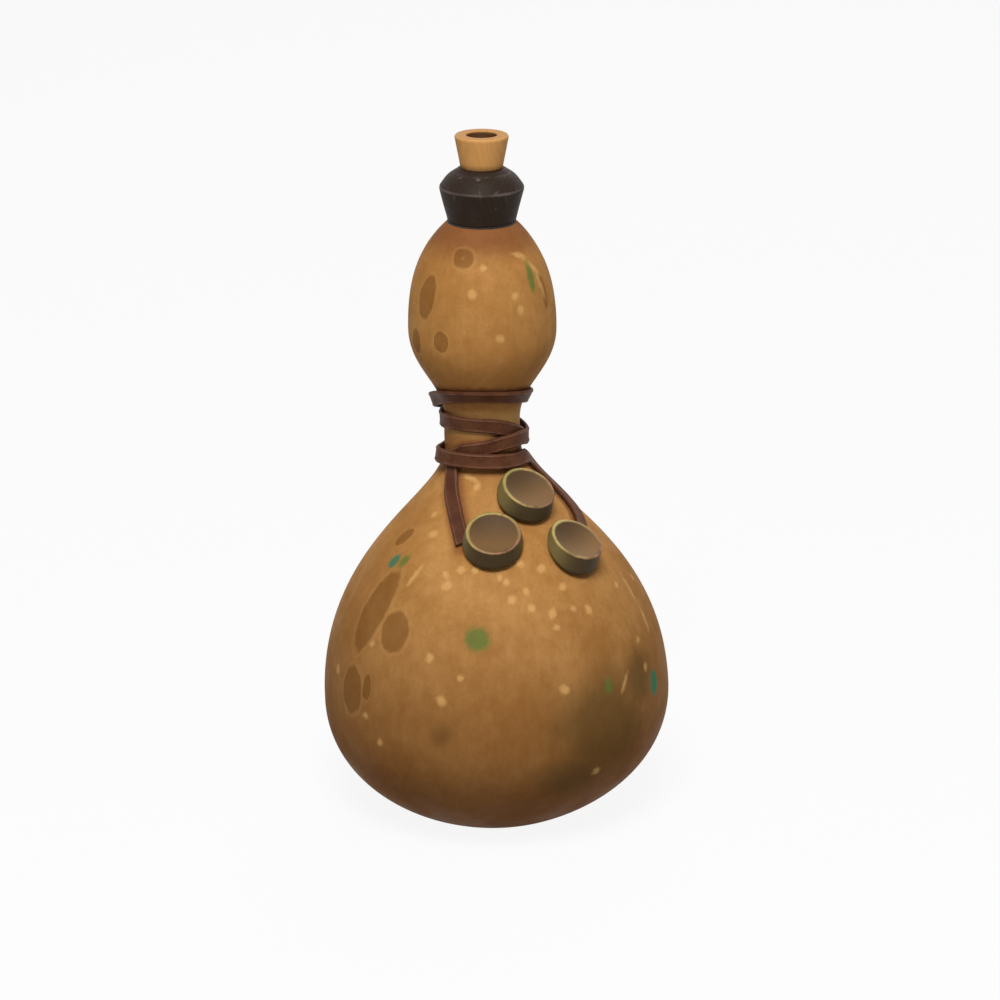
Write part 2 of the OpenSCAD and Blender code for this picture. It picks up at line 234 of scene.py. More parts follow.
def turned(outline: np.ndarray, around: int, centre: tuple[float, float, float]) -> np.ndarray:
    """Points of a turned shape: each (radius, height) of the outline goes round in a ring.

    Args:
        outline: Rows of radius and height, first and last on the axis.
        around: Vertices in each ring.
        centre: Where the axis and height 0 are.

    Returns:
        The rings' points and then the two points on the axis.
    """
    turn = np.linspace(0, 2 * math.pi, around, endpoint=False)
    r, h = outline[1:-1, 0:1], outline[1:-1, 1:2]
    rings = np.stack([r * np.sin(turn), -r * np.cos(turn), h + 0 * turn], axis=-1).reshape(-1, 3)
    tips = np.array([[0, 0, outline[0, 1]], [0, 0, outline[-1, 1]]])
    return np.concatenate([rings, tips]) + np.array(centre)


def rounded(corners: list[tuple[float, float, float]], step: float) -> np.ndarray:
    """A turned outline with rounded corners, cut into short steps.

    Each corner is replaced by an arc-like curve (1-t)^2 a + 2t(1-t) b + t^2 c that starts and ends
    its rounding's length before and after the corner.

    Args:
        corners: Rows of radius, height and rounding length.
        step: Greatest distance between points on the straight stretches.

    Returns:
        Rows of radius and height.
    """
    points = np.array([c[:2] for c in corners], float)
    line = [points[0]]
    for before, here, after, size in zip(points[:-2], points[1:-1], points[2:], [c[2] for c in corners[1:-1]]):
        if size == 0:
            line.append(here)
            continue
        a = here + unit(before - here) * min(size, np.linalg.norm(before - here) / 2)
        c = here + unit(after - here) * min(size, np.linalg.norm(after - here) / 2)
        line.extend((1 - t) ** 2 * a + 2 * t * (1 - t) * here + t * t * c for t in np.linspace(0, 1, 6))
    line.append(points[-1])
    filled = [line[0]]
    for a, b in zip(line[:-1], line[1:]):
        count = max(1, math.ceil(np.linalg.norm(b - a) / step))
        filled.extend(a + (b - a) * k / count for k in range(1, count + 1))
    return np.array(filled)


class Nodes:
    """Short hand for filling one node tree."""

    def __init__(self, tree: bpy.types.NodeTree) -> None:
        """Remembers the tree to fill."""
        self.tree = tree

    def add(self, kind: str, settings: dict | None = None, **inputs) -> bpy.types.Node:
        """Adds a node.

        Args:
            kind: Type of the node.
            settings: The node's own settings by name.
            **inputs: Values or sockets for its inputs, with _ for a space in a name.

        Returns:
            The node.
        """
        node = self.tree.nodes.new(kind)
        for key, value in (settings or {}).items():
            setattr(node, key, value)
        for key, value in inputs.items():
            self.feed(node.inputs[key.replace("_", " ")], value)
        return node

    def feed(self, socket: bpy.types.NodeSocket, value) -> None:
        """Links a socket to an input, or sets the input to a plain value."""
        if isinstance(value, bpy.types.NodeSocket):
            self.tree.links.new(value, socket)
        else:
            socket.default_value = value

    def maths(self, operation: str, *values) -> bpy.types.NodeSocket:
        """The result of a Math node on its values or sockets."""
        node = self.add("ShaderNodeMath", {"operation": operation})
        for socket, value in zip(node.inputs, values):
            self.feed(socket, value)
        return node.outputs[0]

    def mix(self, share, a, b) -> bpy.types.NodeSocket:
        """The colour between a, at share 0, and b, at share 1."""
        node = self.add("ShaderNodeMix", {"data_type": "RGBA"})
        for index, value in ((0, share), (6, a), (7, b)):
            self.feed(node.inputs[index], value)
        return node.outputs[2]

    def ease(self, value, low, high, start=0.0, end=1.0) -> bpy.types.NodeSocket:
        """Eases a value from start, at low, to end, at high."""
        node = self.add("ShaderNodeMapRange", {"interpolation_type": "SMOOTHSTEP"}, Value=value,
                        From_Min=low, From_Max=high, To_Min=start, To_Max=end)
        return node.outputs[0]

    def noise(self, vector, scale, detail: float = 3.0, roughness: float = 0.55) -> bpy.types.NodeSocket:
        """A cloudy value round 0.5, with features about 1 / scale metres across."""
        node = self.add("ShaderNodeTexNoise", Vector=vector, Scale=scale, Detail=detail, Roughness=roughness)
        return node.outputs["Fac"]

    def stretched(self, vector, scale: tuple[float, float, float],
                  centre: tuple[float, float, float] = (0, 0, 0)) -> bpy.types.NodeSocket:
        """The vector moved so that centre is at 0, and scaled along each axis."""
        place = tuple(-c * s for c, s in zip(centre, scale))
        node = self.add("ShaderNodeMapping", Vector=vector, Scale=scale, Location=place)
        return node.outputs[0]

    def field(self, name: str) -> bpy.types.Node:
        """The node that reads a mesh attribute."""
        return self.add("ShaderNodeAttribute", {"attribute_name": name})

    def parts(self, colour) -> list[bpy.types.NodeSocket]:
        """Red, green and blue of a colour."""
        return list(self.add("ShaderNodeSeparateColor", Color=colour).outputs)

    def group(self, tree: bpy.types.NodeTree, **inputs) -> bpy.types.Node:
        """Places a shared effect with its own values."""
        node = self.tree.nodes.new("ShaderNodeGroup")
        node.node_tree = tree
        for key, value in inputs.items():
            self.feed(node.inputs[key.replace("_", " ")], value)
        return node


class Effects:
    """Effects that several finishes share, each a node group that is built once."""

    def __init__(self) -> None:
        """Builds the four groups."""
        self.drift = self._drift()
        self.mark = self._mark()
        self.wear_and_highlight = self._wear_and_highlight()
        self.relief = self._relief()

    @staticmethod
    def _open(name: str, inputs: dict[str, str], outputs: dict[str, str]):
        """Starts a group.

        Args:
            name: Name of the group.
            inputs: Socket types by input name.
            outputs: Socket types by output name.

        Returns:
            The tree, its short hand, its inputs by name and its output node.
        """
        tree = bpy.data.node_groups.new(name, "ShaderNodeTree")
        for key, kind in inputs.items():
            tree.interface.new_socket(key, in_out="INPUT", socket_type="NodeSocket" + kind)
        for key, kind in outputs.items():
            tree.interface.new_socket(key, in_out="OUTPUT", socket_type="NodeSocket" + kind)
        nodes = Nodes(tree)
        return tree, nodes, nodes.add("NodeGroupInput").outputs, nodes.add("NodeGroupOutput")

    def _drift(self) -> bpy.types.NodeTree:
        """A slow drift between two tones, with a finer one on it."""
        tree, nodes, given, result = self._open(
            "tone_drift", {"Tone A": "Color", "Tone B": "Color", "Vector": "Vector", "Scale": "Float"},
            {"Color": "Color"})
        broad = nodes.noise(given["Vector"], given["Scale"], 2.0, 0.5)
        fine = nodes.noise(given["Vector"], nodes.maths("MULTIPLY", given["Scale"], 6.0), 4.0, 0.6)
        both = nodes.maths("MULTIPLY_ADD", fine, 0.35, nodes.maths("MULTIPLY", broad, 0.65))
        nodes.feed(result.inputs["Color"],
                   nodes.mix(nodes.ease(both, 0.36, 0.64), given["Tone A"], given["Tone B"]))
        return tree

    def _mark(self) -> bpy.types.NodeTree:
        """A mark with a frayed edge and a rim, from a field that is 0.5 at the mark's edge."""
        tree, nodes, given, result = self._open(
            "frayed_mark",
            {"Field": "Float", "Vector": "Vector", "Scale": "Float", "Fray": "Float", "Softness": "Float"},
            {"Mask": "Float", "Rim": "Float"})
        wave = nodes.maths("SUBTRACT", nodes.noise(given["Vector"], given["Scale"], 3.0, 0.6), 0.5)
        level = nodes.maths("MULTIPLY_ADD", wave, given["Fray"], given["Field"])
        low = nodes.maths("SUBTRACT", 0.5, given["Softness"])
        mask = nodes.ease(level, low, nodes.maths("ADD", 0.5, given["Softness"]))
        outer = nodes.ease(level, nodes.maths("SUBTRACT", low, 0.1), low)
        nodes.feed(result.inputs["Mask"], mask)
        nodes.feed(result.inputs["Rim"], nodes.maths("MULTIPLY", outer, nodes.maths("SUBTRACT", 1.0, mask)))
        return tree

    def _wear_and_highlight(self) -> bpy.types.NodeTree:
        """An edge turned to another colour, more or less along its length, for wear and for painted highlights."""
        tree, nodes, given, result = self._open(
            "edge_wear_and_highlight",
            {"Color": "Color", "Worn": "Color", "Edge": "Float", "Vector": "Vector", "Scale": "Float",
             "Cover": "Float"},
            {"Color": "Color", "Mask": "Float"})
        breakup = nodes.noise(given["Vector"], given["Scale"], 4.0, 0.6)
        level = nodes.maths("MULTIPLY", given["Edge"], nodes.maths("MULTIPLY_ADD", breakup, 1.2, given["Cover"]))
        mask = nodes.ease(level, 0.35, 0.95)
        nodes.feed(result.inputs["Color"], nodes.mix(mask, given["Color"], given["Worn"]))
        nodes.feed(result.inputs["Mask"], mask)
        return tree

    def _relief(self) -> bpy.types.NodeTree:
        """A height from a coarse and a fine cloud, and small pits."""
        tree, nodes, given, result = self._open(
            "fine_relief",
            {"Vector": "Vector", "Coarse": "Float", "Fine": "Float", "Pits": "Float"},
            {"Height": "Float", "Pit": "Float"})
        coarse = nodes.noise(given["Vector"], given["Coarse"], 3.0, 0.5)
        fine = nodes.noise(given["Vector"], given["Fine"], 5.0, 0.65)
        cells = nodes.add("ShaderNodeTexVoronoi", Vector=given["Vector"], Scale=given["Fine"])
        pit = nodes.ease(cells.outputs["Distance"], 0.1, 0.28, 1.0, 0.0)
        both = nodes.maths("MULTIPLY_ADD", fine, 0.4, nodes.maths("MULTIPLY", coarse, 0.6))
        deep = nodes.maths("MULTIPLY", pit, given["Pits"])
        nodes.feed(result.inputs["Height"], nodes.maths("SUBTRACT", both, deep))
        nodes.feed(result.inputs["Pit"], pit)
        return tree


class Finish:
    """A finish: it starts a material and joins its shader."""

    def start(self, name: str) -> tuple[bpy.types.Material, Nodes, bpy.types.NodeSocket]:
        """Makes an empty material.

        Args:
            name: Name of the material.

        Returns:
            The material, the short hand for its nodes, and its object coordinates.
        """
        material = bpy.data.materials.new(name)
        material.use_nodes = True
        material.node_tree.nodes.clear()
        nodes = Nodes(material.node_tree)
        return material, nodes, nodes.add("ShaderNodeTexCoord").outputs["Object"]

    def close(self, nodes: Nodes, height, depth: float, **inputs) -> None:
        """Adds the shader, its bump and the output.

        Args:
            nodes: Short hand of the material's tree.
            height: Socket with the bump's height, from 0 to 1.
            depth: Depth of that height, in millimetres.
            **inputs: Values and sockets of the shader.
        """
        bump = nodes.add("ShaderNodeBump", Height=height, Distance=depth * MM, Strength=1.0)
        shader = nodes.add("ShaderNodeBsdfPrincipled", Normal=bump.outputs[0], **inputs)
        nodes.add("ShaderNodeOutputMaterial", Surface=shader.outputs[0])


@dataclass(frozen=True)
class GourdFinish(Finish):
    """Dried, oiled and handled gourd skin with its marks, and with painted shade and painted light on it."""

    gold: tuple = linear(210, 154, 89)
    tan: tuple = linear(186, 130, 69)
    shade_brown: tuple = linear(94, 50, 20)
    shade_red: tuple = linear(126, 70, 42)
    stain: tuple = linear(84, 64, 30)
    blotch: tuple = linear(122, 78, 32)
    pale: tuple = linear(236, 184, 114)
    moss: tuple = linear(96, 124, 58)
    teal: tuple = linear(34, 128, 96)

    def build(self, effects: Effects) -> bpy.types.Material:
        """Builds the material.

        Args:
            effects: The shared effects.

        Returns:
            The material.
        """
        material, nodes, where = self.start("gourd_skin")
        marks = nodes.field("marks")
        shade_field = nodes.field("shades")
        shades = nodes.parts(shade_field.outputs["Color"])
        blotch, speck, moss = nodes.parts(marks.outputs["Color"])
        colour = nodes.group(effects.drift, Tone_A=self.gold, Tone_B=self.tan, Vector=where,
                             Scale=26.0).outputs["Color"]
        lengthways = nodes.stretched(where, (1.0, 1.0, 0.22))
        fibre = nodes.ease(nodes.noise(lengthways, 420.0, 3.0, 0.6), 0.3, 0.75, 0.0, 0.16)
        colour = nodes.mix(fibre, colour, self.blotch)
        # Painted shade: darker towards the base and under the top bulb.
        colour = nodes.mix(shades[2], colour, self.shade_brown)
        # Painted reddish shade round the waist, under the collar and by the strap.
        colour = nodes.mix(nodes.maths("MULTIPLY", shades[1], 0.85), colour, self.shade_red)
        # Painted light: the neck paler between the upper two wraps.
        colour = nodes.mix(nodes.maths("MULTIPLY", shade_field.outputs["Alpha"], 0.6), colour, self.pale)
        layers = (
            (shades[0], self.stain, 60.0, 0.4, 0.36, 0.66),
            (blotch, self.blotch, 240.0, 0.22, 0.07, 0.56),
            (speck, self.pale, 520.0, 0.6, 0.3, 0.58),
            (moss, self.moss, 300.0, 0.5, 0.28, 0.8),
            (marks.outputs["Alpha"], self.teal, 420.0, 0.4, 0.2, 0.85),
        )
        for level, tint, scale, fray, softness, cover in layers:
            mark = nodes.group(effects.mark, Field=level, Vector=where, Scale=scale, Fray=fray, Softness=softness)
            if tint is self.blotch:
                rim = nodes.maths("MULTIPLY", mark.outputs["Rim"], 0.1)
                colour = nodes.mix(rim, colour, self.pale)
            colour = nodes.mix(nodes.maths("MULTIPLY", mark.outputs["Mask"], cover), colour, tint)
        relief = nodes.group(effects.relief, Vector=where, Coarse=90.0, Fine=900.0, Pits=0.35)
        # The pits are darkened as well: painted shade in them.
        pit_shade = nodes.maths("MULTIPLY", relief.outputs["Pit"], 0.18)
        colour = nodes.mix(pit_shade, colour, self.shade_brown)
        rough = nodes.ease(nodes.noise(where, 70.0), 0.3, 0.7, 0.56, 0.7)
        self.close(nodes, relief.outputs["Height"], 0.22, Base_Color=colour, Roughness=rough,
                   Specular_IOR_Level=0.06)
        return material


@dataclass(frozen=True)
class TurnedFinish(Finish):
    """Turned wood: grain along Z, end grain on level faces, lathe lines, painted edge highlights and painted shade."""

    name: str
    light: tuple
    dark: tuple
    wear_and_highlight: tuple
    deep: tuple
    axis_x: float
    roughness: tuple[float, float]
    grain: float
    cover: float
    scratches: float
    specular: float

    def build(self, effects: Effects) -> bpy.types.Material:
        """Builds the material.

        Args:
            effects: The shared effects.

        Returns:
            The material.
        """
        material, nodes, where = self.start(self.name)
        centred = nodes.stretched(where, (1.0, 1.0, 1.0), (self.axis_x, 0, 0))
        bend = nodes.add("ShaderNodeVectorMath", {"operation": "SCALE"}, Scale=0.006)
        cloud = nodes.add("ShaderNodeTexNoise", Vector=centred, Scale=55.0, Detail=2.0)
        nodes.feed(bend.inputs[0], cloud.outputs["Color"])
        bent = nodes.add("ShaderNodeVectorMath", {"operation": "ADD"})
        nodes.feed(bent.inputs[0], centred)
        nodes.feed(bent.inputs[1], bend.outputs[0])
        along = nodes.stretched(bent.outputs[0], (1.0, 0.55, 0.07))
        years = nodes.add("ShaderNodeTexWave", {"wave_type": "RINGS", "rings_direction": "Z"}, Vector=along,
                          Scale=210.0, Distortion=2.0, Detail=2.0, Detail_Scale=2.0)
        pores = nodes.noise(nodes.stretched(centred, (1.0, 1.0, 0.06)), 2600.0, 3.0, 0.7)
        share = nodes.maths("MULTIPLY_ADD", nodes.ease(pores, 0.35, 0.7), 0.45,
                            nodes.maths("MULTIPLY", years.outputs["Fac"], 0.55))
        colour = nodes.mix(nodes.maths("MULTIPLY", share, self.grain), self.light, self.dark)
        # The shade attribute darkens to the deep colour: painted shade in the collar's mouth round the stopper, and in
        # the stopper's socket, at its foot and on its top.
        colour = nodes.mix(nodes.maths("MULTIPLY", nodes.field("shade").outputs["Fac"], 0.9), colour, self.deep)
        # The edge attribute lightens edges: painted highlights along the collar's crease and slope and the stopper's
        # rim, and scratches on the collar.
        wear_and_highlight = nodes.group(effects.wear_and_highlight, Color=colour, Worn=self.wear_and_highlight, Edge=nodes.field("edge").outputs["Fac"],
                           Vector=centred, Scale=160.0, Cover=self.cover)
        round_lines = nodes.noise(nodes.stretched(centred, (0.12, 0.12, 1.0)), 1500.0, 3.0, 0.7)
        scratch = nodes.ease(nodes.noise(nodes.stretched(centred, (1.0, 0.3, 0.5)), 330.0, 2.0, 0.5),
                             0.66, 0.72, 0.0, self.scratches)
        colour = nodes.mix(scratch, wear_and_highlight.outputs["Color"], self.wear_and_highlight)
        height = nodes.maths("MULTIPLY_ADD", round_lines, 0.5, nodes.maths("MULTIPLY", pores, -0.5))
        rough = nodes.ease(round_lines, 0.3, 0.7, *self.roughness)
        self.close(nodes, height, 0.08, Base_Color=colour, Roughness=rough, Specular_IOR_Level=self.specular)
        return material


@dataclass(frozen=True)
class LeatherFinish(Finish):
    """Dark oiled strap leather with lighter edge beads, rubbed and with a painted highlight."""

    hide: tuple = linear(84, 47, 29)
    hide_dry: tuple = linear(99, 61, 39)
    wear_and_highlight: tuple = linear(128, 86, 64)

    def build(self, effects: Effects) -> bpy.types.Material:
        """Builds the material.

        Args:
            effects: The shared effects.

        Returns:
            The material.
        """
        material, nodes, where = self.start("thong_leather")
        colour = nodes.group(effects.drift, Tone_A=self.hide, Tone_B=self.hide_dry, Vector=where, Scale=130.0)
        wear_and_highlight = nodes.group(effects.wear_and_highlight, Color=colour.outputs["Color"], Worn=self.wear_and_highlight,
                           Edge=nodes.field("edge").outputs["Fac"], Vector=where, Scale=260.0, Cover=0.3)
        relief = nodes.group(effects.relief, Vector=where, Coarse=420.0, Fine=1900.0, Pits=0.5)
        rough = nodes.ease(nodes.noise(where, 220.0), 0.3, 0.7, 0.42, 0.6)
        self.close(nodes, relief.outputs["Height"], 0.16, Base_Color=wear_and_highlight.outputs["Color"], Roughness=rough,
                   Specular_IOR_Level=0.12)
        return material


@dataclass(frozen=True)
class BrassFinish(Finish):
    """Dull aged brass: brown dish, greenish sides, painted shade, and a rubbed rim with a painted highlight, yellow on
    one side and coppery on the other.
    """

    dish: tuple = linear(134, 101, 64)
    side: tuple = linear(126, 112, 66)
    verdigris: tuple = linear(116, 120, 74)
    painted_shade: tuple = linear(66, 50, 32)
    rubbed_highlight: tuple = linear(186, 168, 96)
    copper: tuple = linear(158, 112, 82)

    def build(self, effects: Effects) -> bpy.types.Material:
        """Builds the material.

        Args:
            effects: The shared effects.

        Returns:
            The material.
        """
        material, nodes, where = self.start("aged_brass")
        # The attribute's channels: the dish's mask, painted shade, and the side of the painted rim highlight, 1 at the
        # lower right.
        inside, painted_shade, coppery = nodes.parts(nodes.field("patina_and_painted_light").outputs["Color"])
        green = nodes.ease(nodes.noise(where, 150.0, 3.0, 0.5), 0.45, 0.75)
        side = nodes.mix(green, self.side, self.verdigris)
        colour = nodes.mix(inside, side, self.dish)
        drift = nodes.group(effects.drift, Tone_A=colour, Tone_B=self.dish, Vector=where, Scale=120.0)
        colour = nodes.mix(0.3, colour, drift.outputs["Color"])
        # Painted shade: the dish darker towards its top, the sides towards their bottom.
        colour = nodes.mix(painted_shade, colour, self.painted_shade)
        # The rim lighter: rubbed, with a painted highlight, yellow on the upper left and coppery on the lower right.
        wear_and_highlight = nodes.group(effects.wear_and_highlight, Color=colour, Worn=nodes.mix(coppery, self.rubbed_highlight, self.copper),
                           Edge=nodes.field("edge").outputs["Fac"], Vector=where, Scale=300.0, Cover=0.3)
        relief = nodes.group(effects.relief, Vector=where, Coarse=260.0, Fine=1500.0, Pits=0.4)
        rough = nodes.ease(wear_and_highlight.outputs["Mask"], 0.0, 1.0, 0.6, 0.4)
        metal = nodes.ease(wear_and_highlight.outputs["Mask"], 0.0, 1.0, 0.12, 0.4)
        self.close(nodes, relief.outputs["Height"], 0.18, Base_Color=wear_and_highlight.outputs["Color"], Roughness=rough,
                   Metallic=metal, Specular_IOR_Level=0.2)
        return material


@dataclass(frozen=True)
class PlainFinish(Finish):
    """A quiet two-tone finish for wax, pitch, thread and dowels."""

    name: str
    tone: tuple
    other: tuple
    roughness: float
    metallic: float
    scale: float
    depth: float

    def build(self, effects: Effects) -> bpy.types.Material:
        """Builds the material.

        Args:
            effects: The shared effects.

        Returns:
            The material.
        """
        material, nodes, where = self.start(self.name)
        colour = nodes.group(effects.drift, Tone_A=self.tone, Tone_B=self.other, Vector=where, Scale=self.scale)
        relief = nodes.group(effects.relief, Vector=where, Coarse=self.scale * 3, Fine=self.scale * 14, Pits=0.3)
        self.close(nodes, relief.outputs["Height"], self.depth, Base_Color=colour.outputs["Color"],
                   Roughness=self.roughness, Metallic=self.metallic)
        return material


@dataclass(frozen=True)
class GourdForm:
    """The gourd's outline and crooked axis: it leans up to its waist and stands upright above."""

    belly_r: float = 69.0
    belly_h: float = 48.0
    bottom_bulge: float = 6.0
    bottom_reach: float = 28.0
    side_reach_down: float = 35.0
    shoulder_reach_up: float = 62.0
    waist_r: float = 14.9
    waist_h: float = 151.0
    waist_len: float = 10.0
    waist_reach_down: float = 20.0
    neck_reach_up: float = 15.0
    bulb_r: float = 29.2
    bulb_rise: float = 37.3
    bulb_reach_down: float = 16.0
    bulb_reach_up: float = 22.0
    rim_rise: float = 42.2
    rim_r: float = 13.6
    rim_reach_out: float = 9.6
    rim_reach_down: float = 9.0
    mouth_r: float = 9.9
    wall: float = 4.5
    floor: float = 5.0
    lean: float = math.radians(3)
    curve_steps: int = 60

    @property
    def waist_top_h(self) -> float:
        """Height of the waist's upper end."""
        return self.waist_h + self.waist_len

    @property
    def bulb_h(self) -> float:
        """Height of the top bulb's widest ring."""
        return self.waist_top_h + self.bulb_rise

    @property
    def rim_h(self) -> float:
        """Height of the cut rim."""
        return self.bulb_h + self.rim_rise

    @property
    def bend_r(self) -> float:
        """Radius to which the waist is bent."""
        return self.waist_len / self.lean

    @property
    def mouth_x(self) -> float:
        """Where the upright upper gourd stands, to the left of the belly."""
        slope = (self.waist_h - self.belly_h) * math.sin(self.lean)
        return -slope - self.bend_r * (1 - math.cos(self.lean))

    @property
    def waist_top_z(self) -> float:
        """Level of the waist's upper end above the ground."""
        slope = (self.waist_h - self.belly_h) * math.cos(self.lean)
        return self.belly_h + slope + self.bend_r * math.sin(self.lean)

    @property
    def rim_z(self) -> float:
        """Level of the cut rim above the ground."""
        return self.waist_top_z + self.rim_h - self.waist_top_h

    def outline(self) -> np.ndarray:
        """The skin from the middle of the bottom to the cut rim, as four curves joined end to end."""
        belly, waist = (self.belly_r, self.belly_h), (self.waist_r, self.waist_h)
        neck, bulb, rim = (self.waist_r, self.waist_top_h), (self.bulb_r, self.bulb_h), (self.rim_r, self.rim_h)
        curves = (
            [(0, -self.bottom_bulge), (self.bottom_reach, -self.bottom_bulge),
             (self.belly_r, self.belly_h - self.side_reach_down), belly],
            [belly, (self.belly_r, self.belly_h + self.shoulder_reach_up),
             (self.waist_r, self.waist_h - self.waist_reach_down), waist],
            [neck, (self.waist_r, self.waist_top_h + self.neck_reach_up),
             (self.bulb_r, self.bulb_h - self.bulb_reach_down), bulb],
            [bulb, (self.bulb_r, self.bulb_h + self.bulb_reach_up),
             (self.rim_r + self.rim_reach_out, self.rim_h - self.rim_reach_down), rim],
        )
        lines = [bezier(ends, self.curve_steps) for ends in curves]
        return np.concatenate([lines[0], lines[1][1:], lines[2], lines[3][1:]])

    def skin_r(self, h: np.ndarray) -> np.ndarray:
        """Radius of the skin at heights above the bottom."""
        line = self.outline()
        return np.interp(h, line[:, 1], line[:, 0])

    def lean_at(self, h: np.ndarray) -> np.ndarray:
        """Lean of the axis at heights: full below the waist, none above, and even between."""
        return self.lean * np.clip((self.waist_top_h - h) / self.waist_len, 0, 1)

    def axis(self, h: np.ndarray) -> np.ndarray:
        """Points on the axis at heights: a leaning line, an arc through the waist, an upright line."""
        angle = self.lean_at(h)
        low = np.minimum(h, self.waist_h) - self.belly_h
        bend = self.bend_r * (1 - np.cos(angle))
        x = np.where(h <= self.waist_h, -low * math.sin(self.lean), self.mouth_x + bend)
        rise = self.belly_h + low * math.cos(self.lean)
        over = self.waist_top_z - self.bend_r * np.sin(angle) + np.maximum(h - self.waist_top_h, 0)
        return np.stack([x, 0 * x, np.where(h <= self.waist_h, rise, over)], axis=-1)

    def leaned(self, v: np.ndarray, h: np.ndarray) -> np.ndarray:
        """Vectors turned about Y by the lean at their heights."""
        c, s = np.cos(self.lean_at(h)), np.sin(self.lean_at(h))
        return np.stack([v[..., 0] * c - v[..., 2] * s, v[..., 1], v[..., 0] * s + v[..., 2] * c], axis=-1)

    def place(self, r: np.ndarray, turn: np.ndarray, h: np.ndarray) -> np.ndarray:
        """Points r away from the axis at a turn and a height: the axis plus r (sin, -cos, 0), leaned."""
        angle = np.radians(turn)
        return self.axis(h) + self.leaned(np.stack([r * np.sin(angle), -r * np.cos(angle), 0 * r], axis=-1), h)

    def below_waist(self, points: np.ndarray, lift: float) -> np.ndarray:
        """How far points are outside the lower gourd's skin, measured square to its axis.

        Args:
            points: Rows of x, y and z near the lower gourd.
            lift: Distance by which the skin is moved outwards first.

        Returns:
            Radius from the leaning axis less the lifted skin's radius there.
        """
        c, s = math.cos(self.lean), math.sin(self.lean)
        x, z = points[..., 0], points[..., 2] - self.belly_h
        h = self.belly_h - x * s + z * c
        line = inset(self.outline()[: 2 * self.curve_steps + 1], -lift)
        return np.hypot(x * c + z * s, points[..., 1]) - np.interp(h, line[:, 1], line[:, 0])


class MarkKind(Enum):
    """Kinds of marks on the skin, each with its place in the attributes."""

    BLOTCH = ("marks", 0)
    SPECK = ("marks", 1)
    MOSS = ("marks", 2)
    TEAL = ("marks", 3)
    STAIN = ("shades", 0)
    SCRATCH_AND_HIGHLIGHT = ("edge", 0)


@dataclass(frozen=True)
class Mark:
    """A mark seen in the photograph: its pixel there, and its real half width and half height.

    A negative strength hollows out the marks that come before it.
    """

    kind: MarkKind
    seen_x: float
    seen_y: float
    across: float
    along: float
    tilt: float = 0.0
    strength: float = 1.0


@dataclass(frozen=True)
class Camera:
    """The photograph's camera, in millimetres and degrees, with a square picture."""

    aim: tuple[float, float, float] = (1.4, 0.0, 127.4)
    distance: float = 1600.0
    elevation: float = 18.0
    view_angle: float = 14.04
    picture: float = 1000.0
    sensor: float = 36.0

    @property
    def eye(self) -> np.ndarray:
        """Where the camera stands: distance back from the aim, and raised by the elevation."""
        up = math.radians(self.elevation)
        return np.array(self.aim) + self.distance * np.array([0, -math.cos(up), math.sin(up)])

    def seen(self, points: np.ndarray) -> np.ndarray:
        """Pixels of points: their offsets right and down over their depth, times half the picture.

        Args:
            points: Rows of x, y and z.

        Returns:
            Rows of pixel x and y, as in the photograph.
        """
        up = math.radians(self.elevation)
        away = points - self.eye
        depth = away @ np.array([0, math.cos(up), -math.sin(up)])
        rise = away @ np.array([0, math.sin(up), math.cos(up)])
        zoom = self.picture / 2 / math.tan(math.radians(self.view_angle / 2))
        return self.picture / 2 + zoom * np.stack([away[..., 0], -rise], axis=-1) / depth[..., None]

    def build(self) -> bpy.types.Object:
        """Makes the camera and sets it as the scene's."""
        data = bpy.data.cameras.new("camera")
        data.sensor_width = self.sensor
        data.lens = self.sensor / 2 / math.tan(math.radians(self.view_angle / 2))
        data.clip_start, data.clip_end = 0.05, 50
        camera = bpy.data.objects.new("camera", data)
        camera.location = self.eye * MM
        camera.rotation_euler = (math.radians(90 - self.elevation), 0, 0)
        bpy.context.scene.collection.objects.link(camera)
        bpy.context.scene.camera = camera
        return camera


def spread(side: np.ndarray, rise: np.ndarray, across: float, along: float, tilt: float,
           strength: float) -> np.ndarray:
    """A mark's field: strength times 2^-d^2, where d is the distance in units of the mark's half sizes.

    Args:
        side: Distances from the mark's middle round the piece.
        rise: Distances from it along the outline.
        across: Half width.
        along: Half height.
        tilt: Turn of the mark in degrees.
        strength: Level in its middle.

    Returns:
        The field, about half the strength at the mark's edge.
    """
    c, s = math.cos(math.radians(tilt)), math.sin(math.radians(tilt))
    away = ((side * c - rise * s) / across) ** 2 + ((side * s + rise * c) / along) ** 2
    return strength * 2.0**-away


def nearest(seen: np.ndarray, front: np.ndarray, mark: Mark) -> tuple[int, int]:
    """Row and column of the vertex on the camera's side that shows closest to a mark."""
    gap = np.hypot(seen[..., 0] - mark.seen_x, seen[..., 1] - mark.seen_y) + 1e6 * ~front
    return np.unravel_index(np.argmin(gap), gap.shape)


